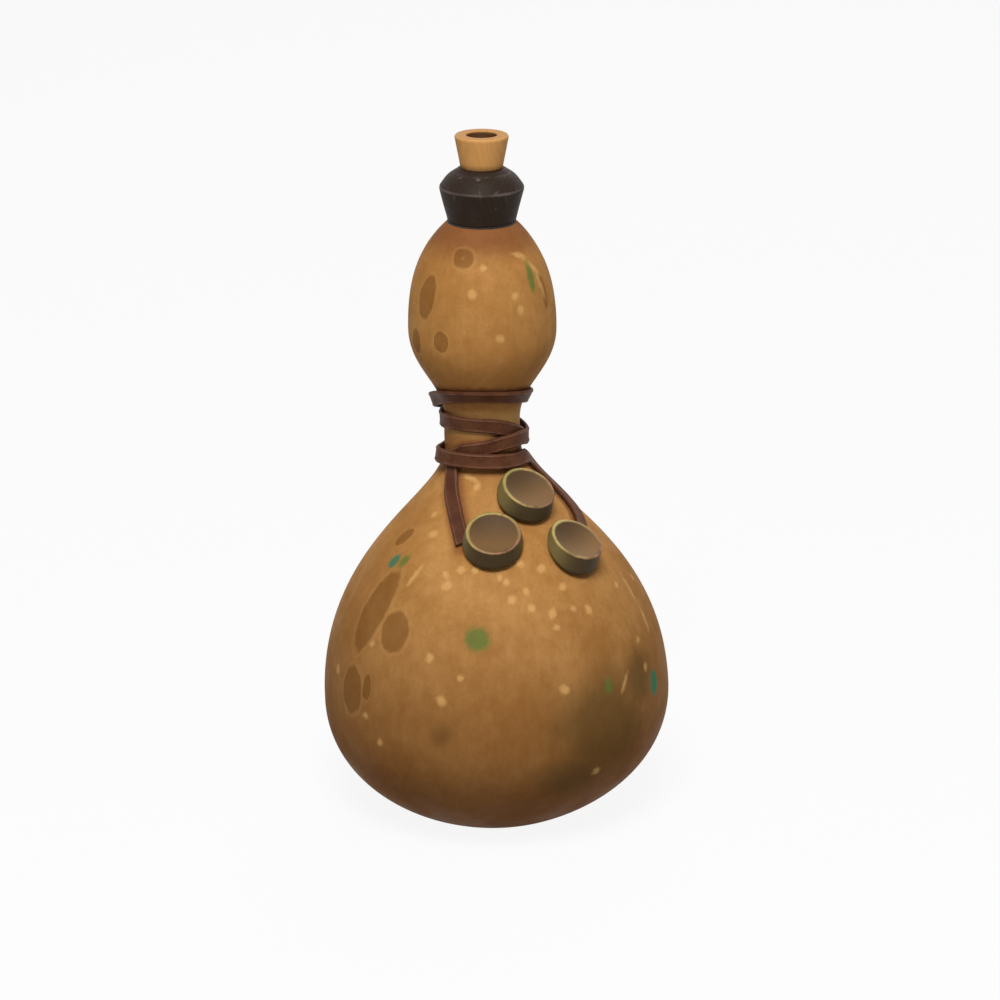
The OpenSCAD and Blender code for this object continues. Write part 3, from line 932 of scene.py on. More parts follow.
def seen_marks() -> list[Mark]:
    """The marks that the photograph shows, as read off it."""
    blotch, speck, moss, teal, stain, _ = MarkKind
    marks = [
        Mark(blotch, 463, 260, 4.6, 4.6, 0, 0.92), Mark(blotch, 463, 259, 1.8, 2.2, 0, -0.42), Mark(blotch, 427, 297, 4.4, 8.6, 4),
        Mark(blotch, 441, 343, 3.4, 4.2), Mark(blotch, 416, 340, 3.2, 5.0), Mark(moss, 531, 278, 1.8, 6.5, 4, 0.9),
        Mark(blotch, 544, 291, 2.2, 8.5, -4, 0.8), Mark(speck, 520, 256, 1.2, 4.0, -68, 0.9),
        Mark(speck, 532, 266, 1.2, 5.0, -42, 0.92), Mark(speck, 541, 285, 1.1, 5.5, -14, 0.9),
        Mark(speck, 625, 682, 1.0, 5.0, 40, 0.82),
        Mark(speck, 628, 588, 1.1, 6.5, 4, 0.88), Mark(speck, 644, 618, 1.1, 5.5, 4, 0.9),
        Mark(speck, 415, 575, 1.1, 5.5, 20, 0.88), Mark(speck, 470, 478, 3.4, 1.1, 20, 0.9),
        Mark(blotch, 375, 610, 7.2, 19, 12, 0.9), Mark(blotch, 394, 633, 6.6, 8.2, -6), Mark(blotch, 352, 690, 6.5, 9.5),
        Mark(blotch, 366, 687, 2.4, 5.4), Mark(stain, 441, 735, 5, 6.5, 0, 0.54), Mark(blotch, 405, 537, 2.6, 5, 34),
        Mark(teal, 394, 561, 2.0, 3.4, 22), Mark(moss, 404, 562, 1.9, 3.0, 22, 0.95),
        Mark(moss, 477, 640, 4.9, 4.6, 20), Mark(teal, 653, 682, 3.2, 5.2, 14), Mark(moss, 609, 685, 2.6, 3.6, 0, 0.74),
        Mark(stain, 606, 724, 21, 20), Mark(stain, 638, 680, 11, 13, 20, 0.85), Mark(stain, 575, 774, 18, 12, 0, 0.8),
    ]
    specks = [
        (483, 267), (472, 294), (515, 295), (521, 310), (500, 338), (434, 515), (434, 533), (477, 486),
        (446, 575), (461, 571), (475, 570), (446, 586), (500, 577), (520, 563), (541, 568), (507, 583),
        (512, 600), (527, 592), (531, 608), (552, 612), (574, 609), (588, 608), (556, 628), (563, 586),
        (430, 657), (461, 677), (441, 700), (365, 715), (381, 742), (338, 668), (372, 643), (564, 690),
        (638, 641), (646, 667), (632, 577), (617, 585), (596, 772), (477, 486),
    ]
    sizes = (1.5, 2.1, 1.3, 1.8, 1.6)
    marks += [Mark(speck, x, y, sizes[k % 5], sizes[(k + 2) % 5], 30 * (k % 6), 0.86 + 0.03 * (k % 4))
              for k, (x, y) in enumerate(specks)]
    return marks


@dataclass
class GourdSkin:
    """The dried gourd: its skin, cut rim and inner wall, in one closed shell."""

    form: GourdForm
    camera: Camera
    strap: np.ndarray
    outer_rows: int = 274
    inner_rows: int = 40
    around: int = 288
    front_crowding: float = 0.55
    wax_gap: float = 0.05
    pole_r: float = 1.0
    unevenness: float = 0.7
    base_softness: float = 0.5
    strap_half: float = 3.1
    pale_above: float = 118.0
    seed: int = 11
    hidden_marks: dict[MarkKind, int] = field(default_factory=lambda: {
        MarkKind.BLOTCH: 17, MarkKind.SPECK: 64, MarkKind.MOSS: 5, MarkKind.TEAL: 3, MarkKind.STAIN: 3})

    def build(self, material: bpy.types.Material) -> bpy.types.Object:
        """Builds the shell and its marks.

        Args:
            material: Finish of the gourd.

        Returns:
            The piece.
        """
        form = self.form
        outer = evenly(form.outline(), self.outer_rows + 1)[1:]
        inner = inset(evenly(form.outline(), self.inner_rows), form.wall - self.wax_gap)[::-1]
        inner = inner[inner[:, 0] > self.pole_r]
        inner = inner[np.argmax(inner[:, 0] > form.mouth_r):]
        rim = np.array([[form.mouth_r + 0.5, form.rim_h + 0.05], [form.mouth_r, form.rim_h - 0.5],
                        [form.mouth_r, inner[0, 1] + 0.1]])
        line = np.concatenate([outer, rim, inner])
        turn = self._turns()
        r, h = line[:, 0:1] + 0 * turn, line[:, 1:2] + 0 * turn
        outside = np.arange(len(line))[:, None] < len(outer)
        run = run_along(line)[:, None] + 0 * turn
        points = form.place(r - outside * self._dips(turn, h), turn + 0 * r, h)
        flat = np.where(outside, 0.0, form.floor)
        below = points[..., 2] - flat
        points[..., 2] = flat + (below + np.sqrt(below**2 + self.base_softness**2)) / 2
        marks, shades = self._fields(points, turn + 0 * r, h, r, run, outside)
        poles = form.axis(np.array([-form.bottom_bulge, form.wall - form.bottom_bulge]))[:, 0]
        tips = np.array([[poles[0], 0, 0], [poles[1], 0, form.floor]])
        all_points = np.concatenate([points.reshape(-1, 3), tips])
        fill = [[0, 0, 0, 0], [0, 0, 0, 0]]
        fields = {"marks": np.concatenate([marks.reshape(-1, 4), fill]),
                  "shades": np.concatenate([shades.reshape(-1, 4), fill])}
        faces = ring_faces(len(line), self.around, (True, True))
        return make_piece("gourd_skin", all_points, faces, Role("gourd_shell", "bottle", "gourd"), material, fields)

    def _turns(self) -> np.ndarray:
        """Turns of the columns, closer together at the front: an even turn a less crowding times sin a."""
        even = np.linspace(0, 2 * math.pi, self.around, endpoint=False)
        return np.degrees(even - self.front_crowding * np.sin(even))

    def _dips(self, turn: np.ndarray, h: np.ndarray) -> np.ndarray:
        """How far the grown skin dips below its smooth form: slow waves, none near the waist and rim."""
        a = np.radians(turn)
        wave = ripple(2 * a + h / 31, 3 * a - h / 23 + 1.3, 5 * a + h / 17 + 4.1, h / 19 + 2 * np.sin(a + 0.7))
        form = self.form
        calm = smooth(0, 26, np.abs(h - form.waist_h - 2)) * smooth(0, 12, form.rim_h - h)
        return self.unevenness * wave * calm

    def _fields(self, points, turn, h, r, run, outside) -> tuple[np.ndarray, np.ndarray]:
        """Works out the marks and shades at each vertex.

        A mark's field is its strength times 2 to the power of less its squared distance in units of
        its own size, so it is about 0.5 at the mark's edge.

        Args:
            points: Grid of vertices.
            turn: Their turns.
            h: Their heights.
            r: Their radii.
            run: Their distances along the outline.
            outside: Whether a row is on the outer skin.

        Returns:
            The marks and the shades, four values for each vertex.
        """
        shape = h.shape
        fields = {"marks": np.zeros((*shape, 4)), "shades": np.zeros((*shape, 4))}
        seen = self.camera.seen(points)
        facing = (points - self.camera.eye) @ np.array([0, 1.0, 0]) < self.camera.distance
        front = outside & facing & (points[..., 1] < 0)
        for kind, mark_turn, mark_run, across, along, tilt, strength in self._placed(seen, front, turn, run):
            layer, channel = kind.value
            side = np.radians((turn - mark_turn + 180) % 360 - 180) * r
            level = spread(side, run - mark_run, across, along, tilt, strength) * outside
            join = np.maximum if strength > 0 else np.add
            fields[layer][..., channel] = join(fields[layer][..., channel], level)
        # The shades' green and blue hold painted shade, and their alpha painted light on the neck.
        fields["shades"][..., 1] = self._painted_shade_by_parts(points, h)
        fields["shades"][..., 2] = self._painted_shade_low(points[..., 2], h)
        fields["shades"][..., 3] = self._painted_neck_light(h)
        return fields["marks"], fields["shades"]

    def _placed(self, seen, front, turn, run):
        """Gives each mark its turn and distance along the outline.

        Args:
            seen: Pixels of the vertices.
            front: Which vertices face the camera.
            turn: Turns of the vertices.
            run: Distances of the vertices along the outline.

        Yields:
            Kind, turn, distance along, half width, half height, tilt and strength.
        """
        for mark in seen_marks():
            at = nearest(seen, front, mark)
            yield mark.kind, turn[at], run[at], mark.across, mark.along, mark.tilt, mark.strength
        chance = np.random.default_rng(self.seed)
        sizes = {MarkKind.BLOTCH: (3, 9), MarkKind.SPECK: (1.2, 2.2), MarkKind.MOSS: (2, 4.5),
                 MarkKind.TEAL: (1.8, 3.5), MarkKind.STAIN: (11, 19)}
        last = run[:self.outer_rows].max()
        for kind, count in self.hidden_marks.items():
            for _ in range(count):
                at = chance.uniform(100, 260), chance.uniform(0.12, 0.93) * last
                wide = chance.uniform(*sizes[kind])
                tall = wide * chance.uniform(1, 1.7)
                yield kind, *at, wide, tall, chance.uniform(-25, 25), chance.uniform(0.84, 1)

    def _painted_shade_low(self, z: np.ndarray, h: np.ndarray) -> np.ndarray:
        """Painted shade for light from above: more and more towards the base, and a little under the top bulb."""
        low = np.clip(1 - z / self.pale_above, 0, 1)
        form = self.form
        under_bulb = 0.2 * smooth(form.bulb_h + 8, form.waist_top_h + 3, h)
        under_bulb *= smooth(form.waist_h, form.waist_top_h + 3, h)
        return np.maximum(0.84 * low, under_bulb)

    def _painted_neck_light(self, h: np.ndarray) -> np.ndarray:
        """Painted light on the neck: one pale band between the upper two wraps, by their height."""
        form = self.form
        top = form.waist_top_h
        return smooth(form.waist_h + 5, top, h) * smooth(top + 9, top + 3, h)

    def _painted_shade_by_parts(self, points: np.ndarray, h: np.ndarray) -> np.ndarray:
        """Painted reddish shade round the waist, under the collar and by the strap."""
        form = self.form
        collar = smooth(14, 3, form.rim_h - h) * 0.85
        neck = smooth(14, 5, np.abs(h - form.waist_h - 1)) * 0.5
        flat = points.reshape(-1, 3)
        near = np.full(len(flat), 1e3)
        band = np.abs(flat[:, 2] - self.strap[:, 2].mean()) < 70
        gaps = [np.linalg.norm(flat[band] - p, axis=1) for p in self.strap[::4]]
        near[band] = np.min(gaps, axis=0)
        strap = smooth(self.strap_half + 3.5, self.strap_half, near).reshape(h.shape)
        return np.maximum(np.maximum(collar, neck), strap * 0.75)


@dataclass
class Collar:
    """The dark turned collar on the cut mouth."""

    centre: tuple[float, float, float]
    camera: Camera
    foot_r: float = 13.2
    crease_r: float = 16.6
    crease_h: float = 13.2
    slope_r: float = 13.4
    slope_h: float = 4.4
    lip_r: float = 8.9
    lip_h: float = 7.4
    bore_top_r: float = 7.6
    bore_low_r: float = 6.6
    spigot_r: float = 9.3
    spigot_len: float = 13.0
    around: int = 192

    def build(self, material: bpy.types.Material) -> bpy.types.Object:
        """Builds the collar as one closed ring.

        Args:
            material: Finish of the collar.

        Returns:
            The piece.
        """
        lip = self.crease_h + self.lip_h
        corners = [
            (self.spigot_r, -self.spigot_len, 0.4), (self.spigot_r, 0, 0.1), (self.foot_r, 0, 0.5),
            (self.crease_r, self.crease_h, 1.1), (self.slope_r, self.crease_h + self.slope_h, 1.6),
            (self.lip_r, lip, 0.7), (self.bore_top_r, lip, 0.5), (self.bore_low_r, -self.spigot_len, 0.3),
        ]
        loop = rounded([corners[-1], *corners, corners[0]], 0.5)
        loop = loop[1:-1]
        turn = np.linspace(0, 2 * math.pi, self.around, endpoint=False)
        r = loop[:, 0:1] + 0 * turn
        h = loop[:, 1:2] + 0 * turn
        worn_in = 0.1 * ripple(3 * turn + h / 3, 7 * turn - h / 2) * smooth(-1, 2, h)
        r = r - worn_in * (loop[:, 0:1] > self.spigot_r)
        points = np.stack([r * np.sin(turn), -r * np.cos(turn), h], axis=-1) + self.centre
        outward = (loop[:, 0] > self.lip_r - 0.5)[:, None]
        # Painted highlights: a line along the crease and one on the upper slope below the lip. A fainter light line
        # runs round the foot.
        crease = np.exp(-(((h - self.crease_h) / 0.85) ** 2)) * outward
        ridge = np.exp(-(((h - lip + 1.5) / 0.75) ** 2)) * 0.62 * outward
        foot = np.exp(-((h / 0.7) ** 2)) * 0.3 * outward
        edge = np.maximum.reduce([crease * 0.9, ridge, foot, self._scratches_and_highlights(points, loop, turn, outward)])
        # Painted shade in the mouth round the stopper.
        shade = smooth(self.lip_r - 0.1, self.lip_r - 0.8, r) * smooth(lip - 12, lip - 1, h)
        fields = {"edge": edge.ravel(), "shade": shade.ravel()}
        return make_piece("turned_collar", points.reshape(-1, 3), hoop_faces(len(loop), self.around),
                          Role("mouth_collar", "bottle", "dark_collar"), material, fields)

    def _scratches_and_highlights(self, points, loop, turn, outward) -> np.ndarray:
        """Painted highlights and scratches on the collar's upper slope, as marks whose strongest overlap wins.

        Args:
            points: Grid of vertices.
            loop: Radius and height of each row.
            turn: Turn of each column in radians.
            outward: Which rows are on the outside.

        Returns:
            How light each vertex is made.
        """
        kind = MarkKind.SCRATCH_AND_HIGHLIGHT
        # The first two are painted highlights, the others scratches.
        light_marks = (Mark(kind, 460, 178, 1.8, 0.7, -20, 0.95), Mark(kind, 478, 180, 1.1, 0.8, 0, 0.95),
                 Mark(kind, 496, 193, 0.6, 2.2, 55, 0.85), Mark(kind, 517, 189, 0.5, 1.6, 20, 0.75),
                 Mark(kind, 448, 188, 0.7, 2.0, -25, 0.6))
        seen = self.camera.seen(points)
        front = outward & (points[..., 1] < 0)
        run = run_along(loop)[:, None] + 0 * turn
        turns = turn + 0 * run
        level = np.zeros(run.shape)
        for light_mark in light_marks:
            at = nearest(seen, front, light_mark)
            side = (turns - turns[at] + math.pi) % (2 * math.pi) - math.pi
            here = spread(side * loop[at[0], 0], run - run[at], light_mark.across, light_mark.along, light_mark.tilt, light_mark.strength)
            level = np.maximum(level, here)
        return level * outward


@dataclass
class StopperPieces:
    """The lift-out stopper and the waxed thread wound in its groove."""

    lip: tuple[float, float, float]
    bore_top_r: float = 7.6
    bore_low_r: float = 6.6
    bore_len: float = 33.6
    head_foot_r: float = 8.1
    head_top_r: float = 10.6
    head_h: float = 12.99
    socket_r: float = 5.9
    socket_depth: float = 9.0
    stem_len: float = 24.0
    stem_gap: float = 0.25
    packing_drop: float = 7.0
    packing_len: float = 11.0
    packing_t: float = 1.1
    packing_gap: float = 0.08
    thread_turns: int = 13
    around: int = 160

    def bore_r(self, drop: float) -> float:
        """Radius of the collar's tapered bore at a distance below the lip."""
        return self.bore_top_r + (self.bore_low_r - self.bore_top_r) * drop / self.bore_len

    def build_wood(self, material: bpy.types.Material) -> bpy.types.Object:
        """Builds the turned stopper with its blind socket.

        Args:
            material: Finish of the wood.

        Returns:
            The piece.
        """
        low = self.packing_drop + self.packing_len
        groove = self.packing_gap + self.packing_t
        corners = [
            (0, -self.stem_len, 0), (self.bore_r(self.stem_len) - self.stem_gap, -self.stem_len, 1.2),
            (self.bore_r(low) - self.stem_gap, -low, 0.3), (self.bore_r(low) - groove, -low, 0.1),
            (self.bore_r(self.packing_drop) - groove, -self.packing_drop, 0.1),
            (self.bore_r(self.packing_drop) - self.stem_gap, -self.packing_drop, 0.3),
            (self.bore_top_r - self.stem_gap, 0.02, 0.1), (self.head_foot_r, 0.02, 0.5),
            (self.head_top_r, self.head_h, 1.3), (self.socket_r, self.head_h, 0.7),
            (self.socket_r - 0.2, self.head_h - self.socket_depth, 1.2), (0, self.head_h - self.socket_depth, 0),
        ]
        line = rounded(corners, 0.55)
        points = turned(line, self.around, self.lip)
        rows = len(line) - 2
        faces = ring_faces(rows, self.around, (True, True))
        turn = np.linspace(0, 2 * math.pi, self.around, endpoint=False)
        r, h = line[1:-1, 0:1] + 0 * turn, line[1:-1, 1:2] + 0 * turn
        # Painted highlights along the head's outer top edge and, fainter, round the socket's mouth.
        outer = np.exp(-((self.head_h - h) / 0.9) ** 2) * np.exp(-((self.head_top_r - r) / 1.1) ** 2)
        mouth = np.exp(-((self.head_h - h) / 0.5) ** 2) * np.exp(-((self.socket_r - r) / 0.5) ** 2)
        # Painted shade down the socket, at the foot by the collar and a little on the top face.
        down = smooth(self.head_h - 0.1, self.head_h - 0.8, h) * smooth(self.socket_r + 0.5, self.socket_r, r)
        socket = down * (h > self.head_h - self.socket_depth - 0.1)
        foot = smooth(3.0, 0, h) * smooth(-0.4, 0.02, h) * 0.7
        top = smooth(self.head_h - 0.2, self.head_h - 0.02, h) * 0.28
        shade = np.concatenate([np.maximum.reduce([socket, foot, top]).ravel(), [0, 1]])
        edge = np.concatenate([np.maximum(outer, mouth * 0.5).ravel(), [0, 0]])
        return make_piece("turned_stopper", points, faces, Role("stopper", "stopper", "stopper_wood"), material,
                          {"edge": edge, "shade": shade})

    def build_thread(self, material: bpy.types.Material) -> bpy.types.Object:
        """Builds the thread packing: a sleeve whose outside is one helical ridge per turn of thread.

        Args:
            material: Finish of the thread.

        Returns:
            The piece.
        """
        pitch = self.packing_len / self.thread_turns
        rows = self.thread_turns * 8
        drop = np.linspace(self.packing_len, 0, rows)[:, None] + self.packing_drop
        turn = np.linspace(0, 2 * math.pi, self.around, endpoint=False)
        phase = math.pi * (drop / pitch + turn / (2 * math.pi))
        ridge = 0.3 * (1 - np.abs(np.sin(phase)))
        outer_r = self.bore_r(drop) - self.packing_gap - ridge
        inner_r = self.bore_r(drop[::-1]) - self.packing_gap - self.packing_t + 0.05 + 0 * turn
        r = np.concatenate([outer_r, inner_r])
        h = np.concatenate([-drop, -drop[::-1]]) + 0 * turn
        points = np.stack([r * np.sin(turn), -r * np.cos(turn), h], axis=-1).reshape(-1, 3) + self.lip
        return make_piece("wound_thread", points, hoop_faces(2 * rows, self.around),
                          Role("stopper_packing", "stopper", "waxed_thread"), material, {})


THONG_ROUTE = np.array([
    [-14.2, -29.6, 0], [-19, -24.5, 0], [-26, -19, 0], [-36.5, -12.5, 0], [-43.5, -6.5, 0],
    [-42, -1.7, 0], [-30, 1, 0], [-12, 2, 0], [8, 2.9, 0],
    [30, 4.6, 1], [60, 4.7, 1], [90, 3, 1], [135, 4.7, 1], [180, 9, 1], [225, 14, 1],
    [266, 18.6, 1], [292, 21.2, 0], [322, 24, 0],
    [360, 25.4, 0], [405, 23.6, 0], [450, 20.2, 0], [495, 17.7, 0], [540, 15, 0],
    [585, 12.4, 0], [630, 10.8, 0], [675, 12.2, 0],
    [723, 12, 0], [745, 10.9, 0], [767, 8.6, 0], [789, 5.4, 0], [812, 2.8, 0],
    [855, 0.4, 0], [900, -1.6, 0], [945, -2.7, 0], [980, -2.6, 0], [1008, -2.2, 1.25],
    [1045, -1.8, 1.25], [1082, -2.7, 1],
    [1104, -3.5, 0.9], [1126, -4.2, 0], [1146, -4.7, 0], [1160, -5.5, 0], [1168, -8.4, 0],
    [1171, -12.7, 0], [1171, -18, 0], [1168, -23, 0], [1162, -27.4, 0], [1153.5, -31.2, 0],
    [1143.5, -34.4, 0],
])


@dataclass
class Thong:
    """The leather strap wound round the waist, its tails held under the left and right studs."""

    form: GourdForm
    width: float = 6.2
    thick: float = 1.3
    gap: float = 0.35
    cross_gap: float = 0.55
    step: float = 0.15
    underlay: float = 0.36
    substeps: int = 12
    bead_at: float = 0.74
    bead_wide: float = 0.12
    section_points: int = 23

    def line(self) -> tuple[np.ndarray, np.ndarray, np.ndarray]:
        """The strap's middle line, its outward directions and its layers.

        Each point is the gourd's axis, plus the radius on which the strap's two edges rest, plus the
        strap's lift and its layer's lift straight out of the skin between those edges.

        Returns:
            Points, outward unit vectors and layers.
        """
        path = through(THONG_ROUTE, self.substeps)
        turn, h, layer = np.radians(path[:, 0]), path[:, 1] + self.form.waist_h, path[:, 2]
        low, high = self.form.skin_r(h - self.width / 2), self.form.skin_r(h + self.width / 2)
        seat = np.maximum(self.form.skin_r(h), (low + high) / 2)
        out = np.stack([np.sin(turn), -np.cos(turn), (low - high) / self.width], axis=1)
        out = self.form.leaned(unit(out), h)
        lift = self.step + self.gap + self.thick / 2 + layer * (self.thick + self.cross_gap)
        return self.form.place(seat, path[:, 0], h) + lift[:, None] * out, out, layer

    def _section(self) -> tuple[np.ndarray, np.ndarray]:
        """Half the strap's section: its across shares from edge to edge, and the beads' mask there."""
        across = -np.cos(np.linspace(0, math.pi, self.section_points))
        bead = np.exp(-((np.abs(across) - self.bead_at) / self.bead_wide) ** 2)
        return across, bead

    def build(self, material: bpy.types.Material) -> bpy.types.Object:
        """Sweeps the section along the line.

        The upper face has a raised bead by each edge and sinks a little between them, and the lower
        face is filled down to what the strap lies on.

        Args:
            material: Finish of the leather.

        Returns:
            The piece.
        """
        mid, out, _ = self.line()
        way = unit(np.gradient(mid, axis=0))
        side = unit(np.cross(way, out))
        out = np.cross(side, way)
        across, bead = self._section()
        run = run_along(mid)[:, None]
        round_off = (1 - np.abs(across) ** 5) ** 0.5
        top = self.thick / 2 * round_off * (0.6 + 0.4 * bead)
        under = -(self.thick / 2 + self.underlay) * (1 - np.abs(across[::-1]) ** 7) ** 0.5
        pull = 0.06 * np.sin(run / 3.1 + 3 * across) * np.sin(run / 7.3) * round_off
        narrow = 1 - 0.05 * ripple(run / 4.3, run / 9.1 + 1)
        across_loop = np.concatenate([across, across[::-1][1:-1]])
        height = np.concatenate([top + pull, (under + 0 * run)[:, 1:-1]], axis=1)
        reach = across_loop * narrow * self.width / 2
        points = mid[:, None] + reach[..., None] * side[:, None] + height[..., None] * out[:, None]
        rings, around = height.shape
        tips = np.array([mid[0], mid[-1]])
        faces = ring_faces(rings, around, (True, True))
        # The beads are made lighter: rubbed, and a painted highlight along each edge.
        edge = np.concatenate([bead, 0 * across[1:-1]])
        edge = np.concatenate([np.tile(edge, rings), [0, 0]])
        return make_piece("leather_strap", np.concatenate([points.reshape(-1, 3), tips]), faces,
                          Role("waist_thong", "bottle", "thong_leather"), material, {"edge": edge})


@dataclass(frozen=True)
class StudPlace:
    """Where one stud sits: its name, turn and distance down from the waist."""

    name: str
    turn: float
    drop: float


@dataclass
class Studs:
    """The three dished brass studs on the shoulder."""

    form: GourdForm
    radius: float = 12.1
    rim_r: float = 10.7
    dish_r: float = 9.6
    dish_depth: float = 2.2
    side_least: float = 0.3
    side_full: float = 6.0
    height: float = 4.0
    lift: float = 58.0
    bed: float = 2.0
    around: int = 120
    places: tuple[StudPlace, ...] = (
        StudPlace("left", 4.0, 29.3), StudPlace("top", 38.0, 17.2), StudPlace("right", 49.5, 36.5))

    def _outline(self) -> tuple[np.ndarray, np.ndarray, np.ndarray]:
        """The stud's rounded rim and dish, with its masks.

        The dish is part of a ball, so its depth falls with the square of the radius.

        Returns:
            Rows of radius and height, the rim's mask and the dish's mask.
        """
        face = self.bed + self.height
        share = np.linspace(0.9, 0, 26)[:, None]
        ball = np.concatenate([share * self.dish_r, face - self.dish_depth * (1 - share**2)], axis=1)
        start = (self.rim_r + 0.16, face - 0.8, 0)
        upper = rounded([start, (self.rim_r, face, 0.5), (self.dish_r, face, 0.4), (*ball[0], 0)], 0.3)
        line = np.concatenate([upper[:-1], ball])
        middle = (self.rim_r + self.dish_r) / 2
        rim = np.exp(-(((line[:, 0] - middle) / 1.1) ** 2)) * smooth(face - 1.3, face - 0.2, line[:, 1])
        inside = smooth(self.dish_r + 0.3, self.dish_r - 0.6, line[:, 0])
        return line, rim, inside

    def build(self, place: StudPlace, material: bpy.types.Material) -> bpy.types.Object:
        """Builds one stud, its underside dropped along its axis onto its bed's height over the skin.

        Args:
            place: Where the stud sits.
            material: Finish of the brass.

        Returns:
            The piece.
        """
        form = self.form
        h = np.array(form.waist_h - place.drop)
        foot = form.place(form.skin_r(h), np.array(place.turn), h)
        turn, lift = math.radians(place.turn), math.radians(self.lift)
        along = np.array([math.cos(lift) * math.sin(turn), -math.cos(lift) * math.cos(turn), math.sin(lift)])
        across = np.array([math.cos(turn), math.sin(turn), 0])
        up = np.cross(along, across)
        line, rim, inside = self._outline()
        angle = np.linspace(0, 2 * math.pi, self.around, endpoint=False)
        lobes = 1 - 0.008 * ripple(5 * angle + place.drop, 8 * angle)
        ring = np.cos(angle)[:, None] * across + np.sin(angle)[:, None] * up
        start_r, start = line[0]
        taper = (self.radius - start_r) / self.side_full
        low_r = np.full(self.around, self.radius)
        for _ in range(3):
            low_edge = self._foot(foot + (low_r * lobes)[:, None] * ring, along, start)
            low_r = np.minimum(self.radius, start_r + (start - low_edge) * taper)
        under_r = np.array([0.12, 0.3, 0.5, 0.7, 0.85, 0.95, 0.99])[:, None] * low_r * lobes
        under = foot + under_r[..., None] * ring
        under = under + self._foot(under, along, start)[..., None] * along
        climb = np.linspace(0.03, 0.9, 8)[:, None]
        side_h = low_edge + (start - low_edge) * climb
        side_r = (low_r + (start_r - low_r) * climb) * lobes
        side = foot + side_r[..., None] * ring + side_h[..., None] * along
        upper_r = line[:-1, 0:1] * (1 + (lobes - 1) * (line[:-1, 0:1] / self.radius) ** 2)
        hammer = 0.05 * ripple(9 * angle + line[:-1, 0:1], 4 * angle - 2 * line[:-1, 0:1])
        upper_h = line[:-1, 1:2] - hammer
        upper = foot + upper_r[..., None] * ring + upper_h[..., None] * along
        rings = np.concatenate([under, side, upper])
        tip_low = foot + self._foot(foot[None], along, start)[0] * along
        tip_high = foot + line[-1, 1] * along
        points = np.concatenate([rings.reshape(-1, 3), [tip_low, tip_high]])
        lower = np.zeros(len(under) + len(side))
        edge = np.concatenate([lower, rim[:-1]])[:, None]
        dish = np.concatenate([lower, inside[:-1]])[:, None]
        high = np.sin(angle) * np.concatenate([lower + self.dish_r, line[:-1, 0]])[:, None] / self.dish_r
        # Painted shade: the dish darker towards its top, the sides darker towards their bottom.
        painted_shade = dish * 0.8 * smooth(-0.75, 0.95, high) + (1 - dish) * 0.85 * smooth(0.15, -0.9, high)
        # Side of the painted rim highlight: 0 at the upper left for yellow, 1 at the lower right for copper. The
        # highlight is also a little stronger at the upper left.
        coppery = 0.5 + 0.5 * (0.6 * np.cos(angle) - 0.8 * np.sin(angle)) + 0 * edge
        patina_and_painted_light = np.stack([dish + 0 * coppery, painted_shade, coppery, 0 * coppery], axis=-1).reshape(-1, 4)
        fields = {"edge": np.append((edge * (1 - 0.15 * coppery)).ravel(), [0, 0]),
                  "patina_and_painted_light": np.concatenate([patina_and_painted_light, [[0, 1, 0, 0], [1, 0.3, 0, 0]]])}
        node = "boss_" + place.name
        return make_piece("brass_stud_" + place.name, points, ring_faces(len(rings), self.around, (True, True)),
                          Role(node, "bottle", "aged_brass"), material, fields)

    def _foot(self, points: np.ndarray, along: np.ndarray, start: float) -> np.ndarray:
        """Distance along the axis from points to the skin lifted by the bed, found by halving 40 times.

        Args:
            points: Points on the level of the stud's foot.
            along: The stud's axis.
            start: Height where the rim starts, below which the foot always stays.

        Returns:
            The heights of the foot.
        """
        low = np.full(points.shape[:-1], -30.0)
        high = np.full(points.shape[:-1], 12.0)
        for _ in range(40):
            middle = (low + high) / 2
            outside = self.form.below_waist(points + middle[..., None] * along, self.bed) > 0
            high = np.where(outside, middle, high)
            low = np.where(outside, low, middle)
        return np.minimum(high, start - self.side_least)


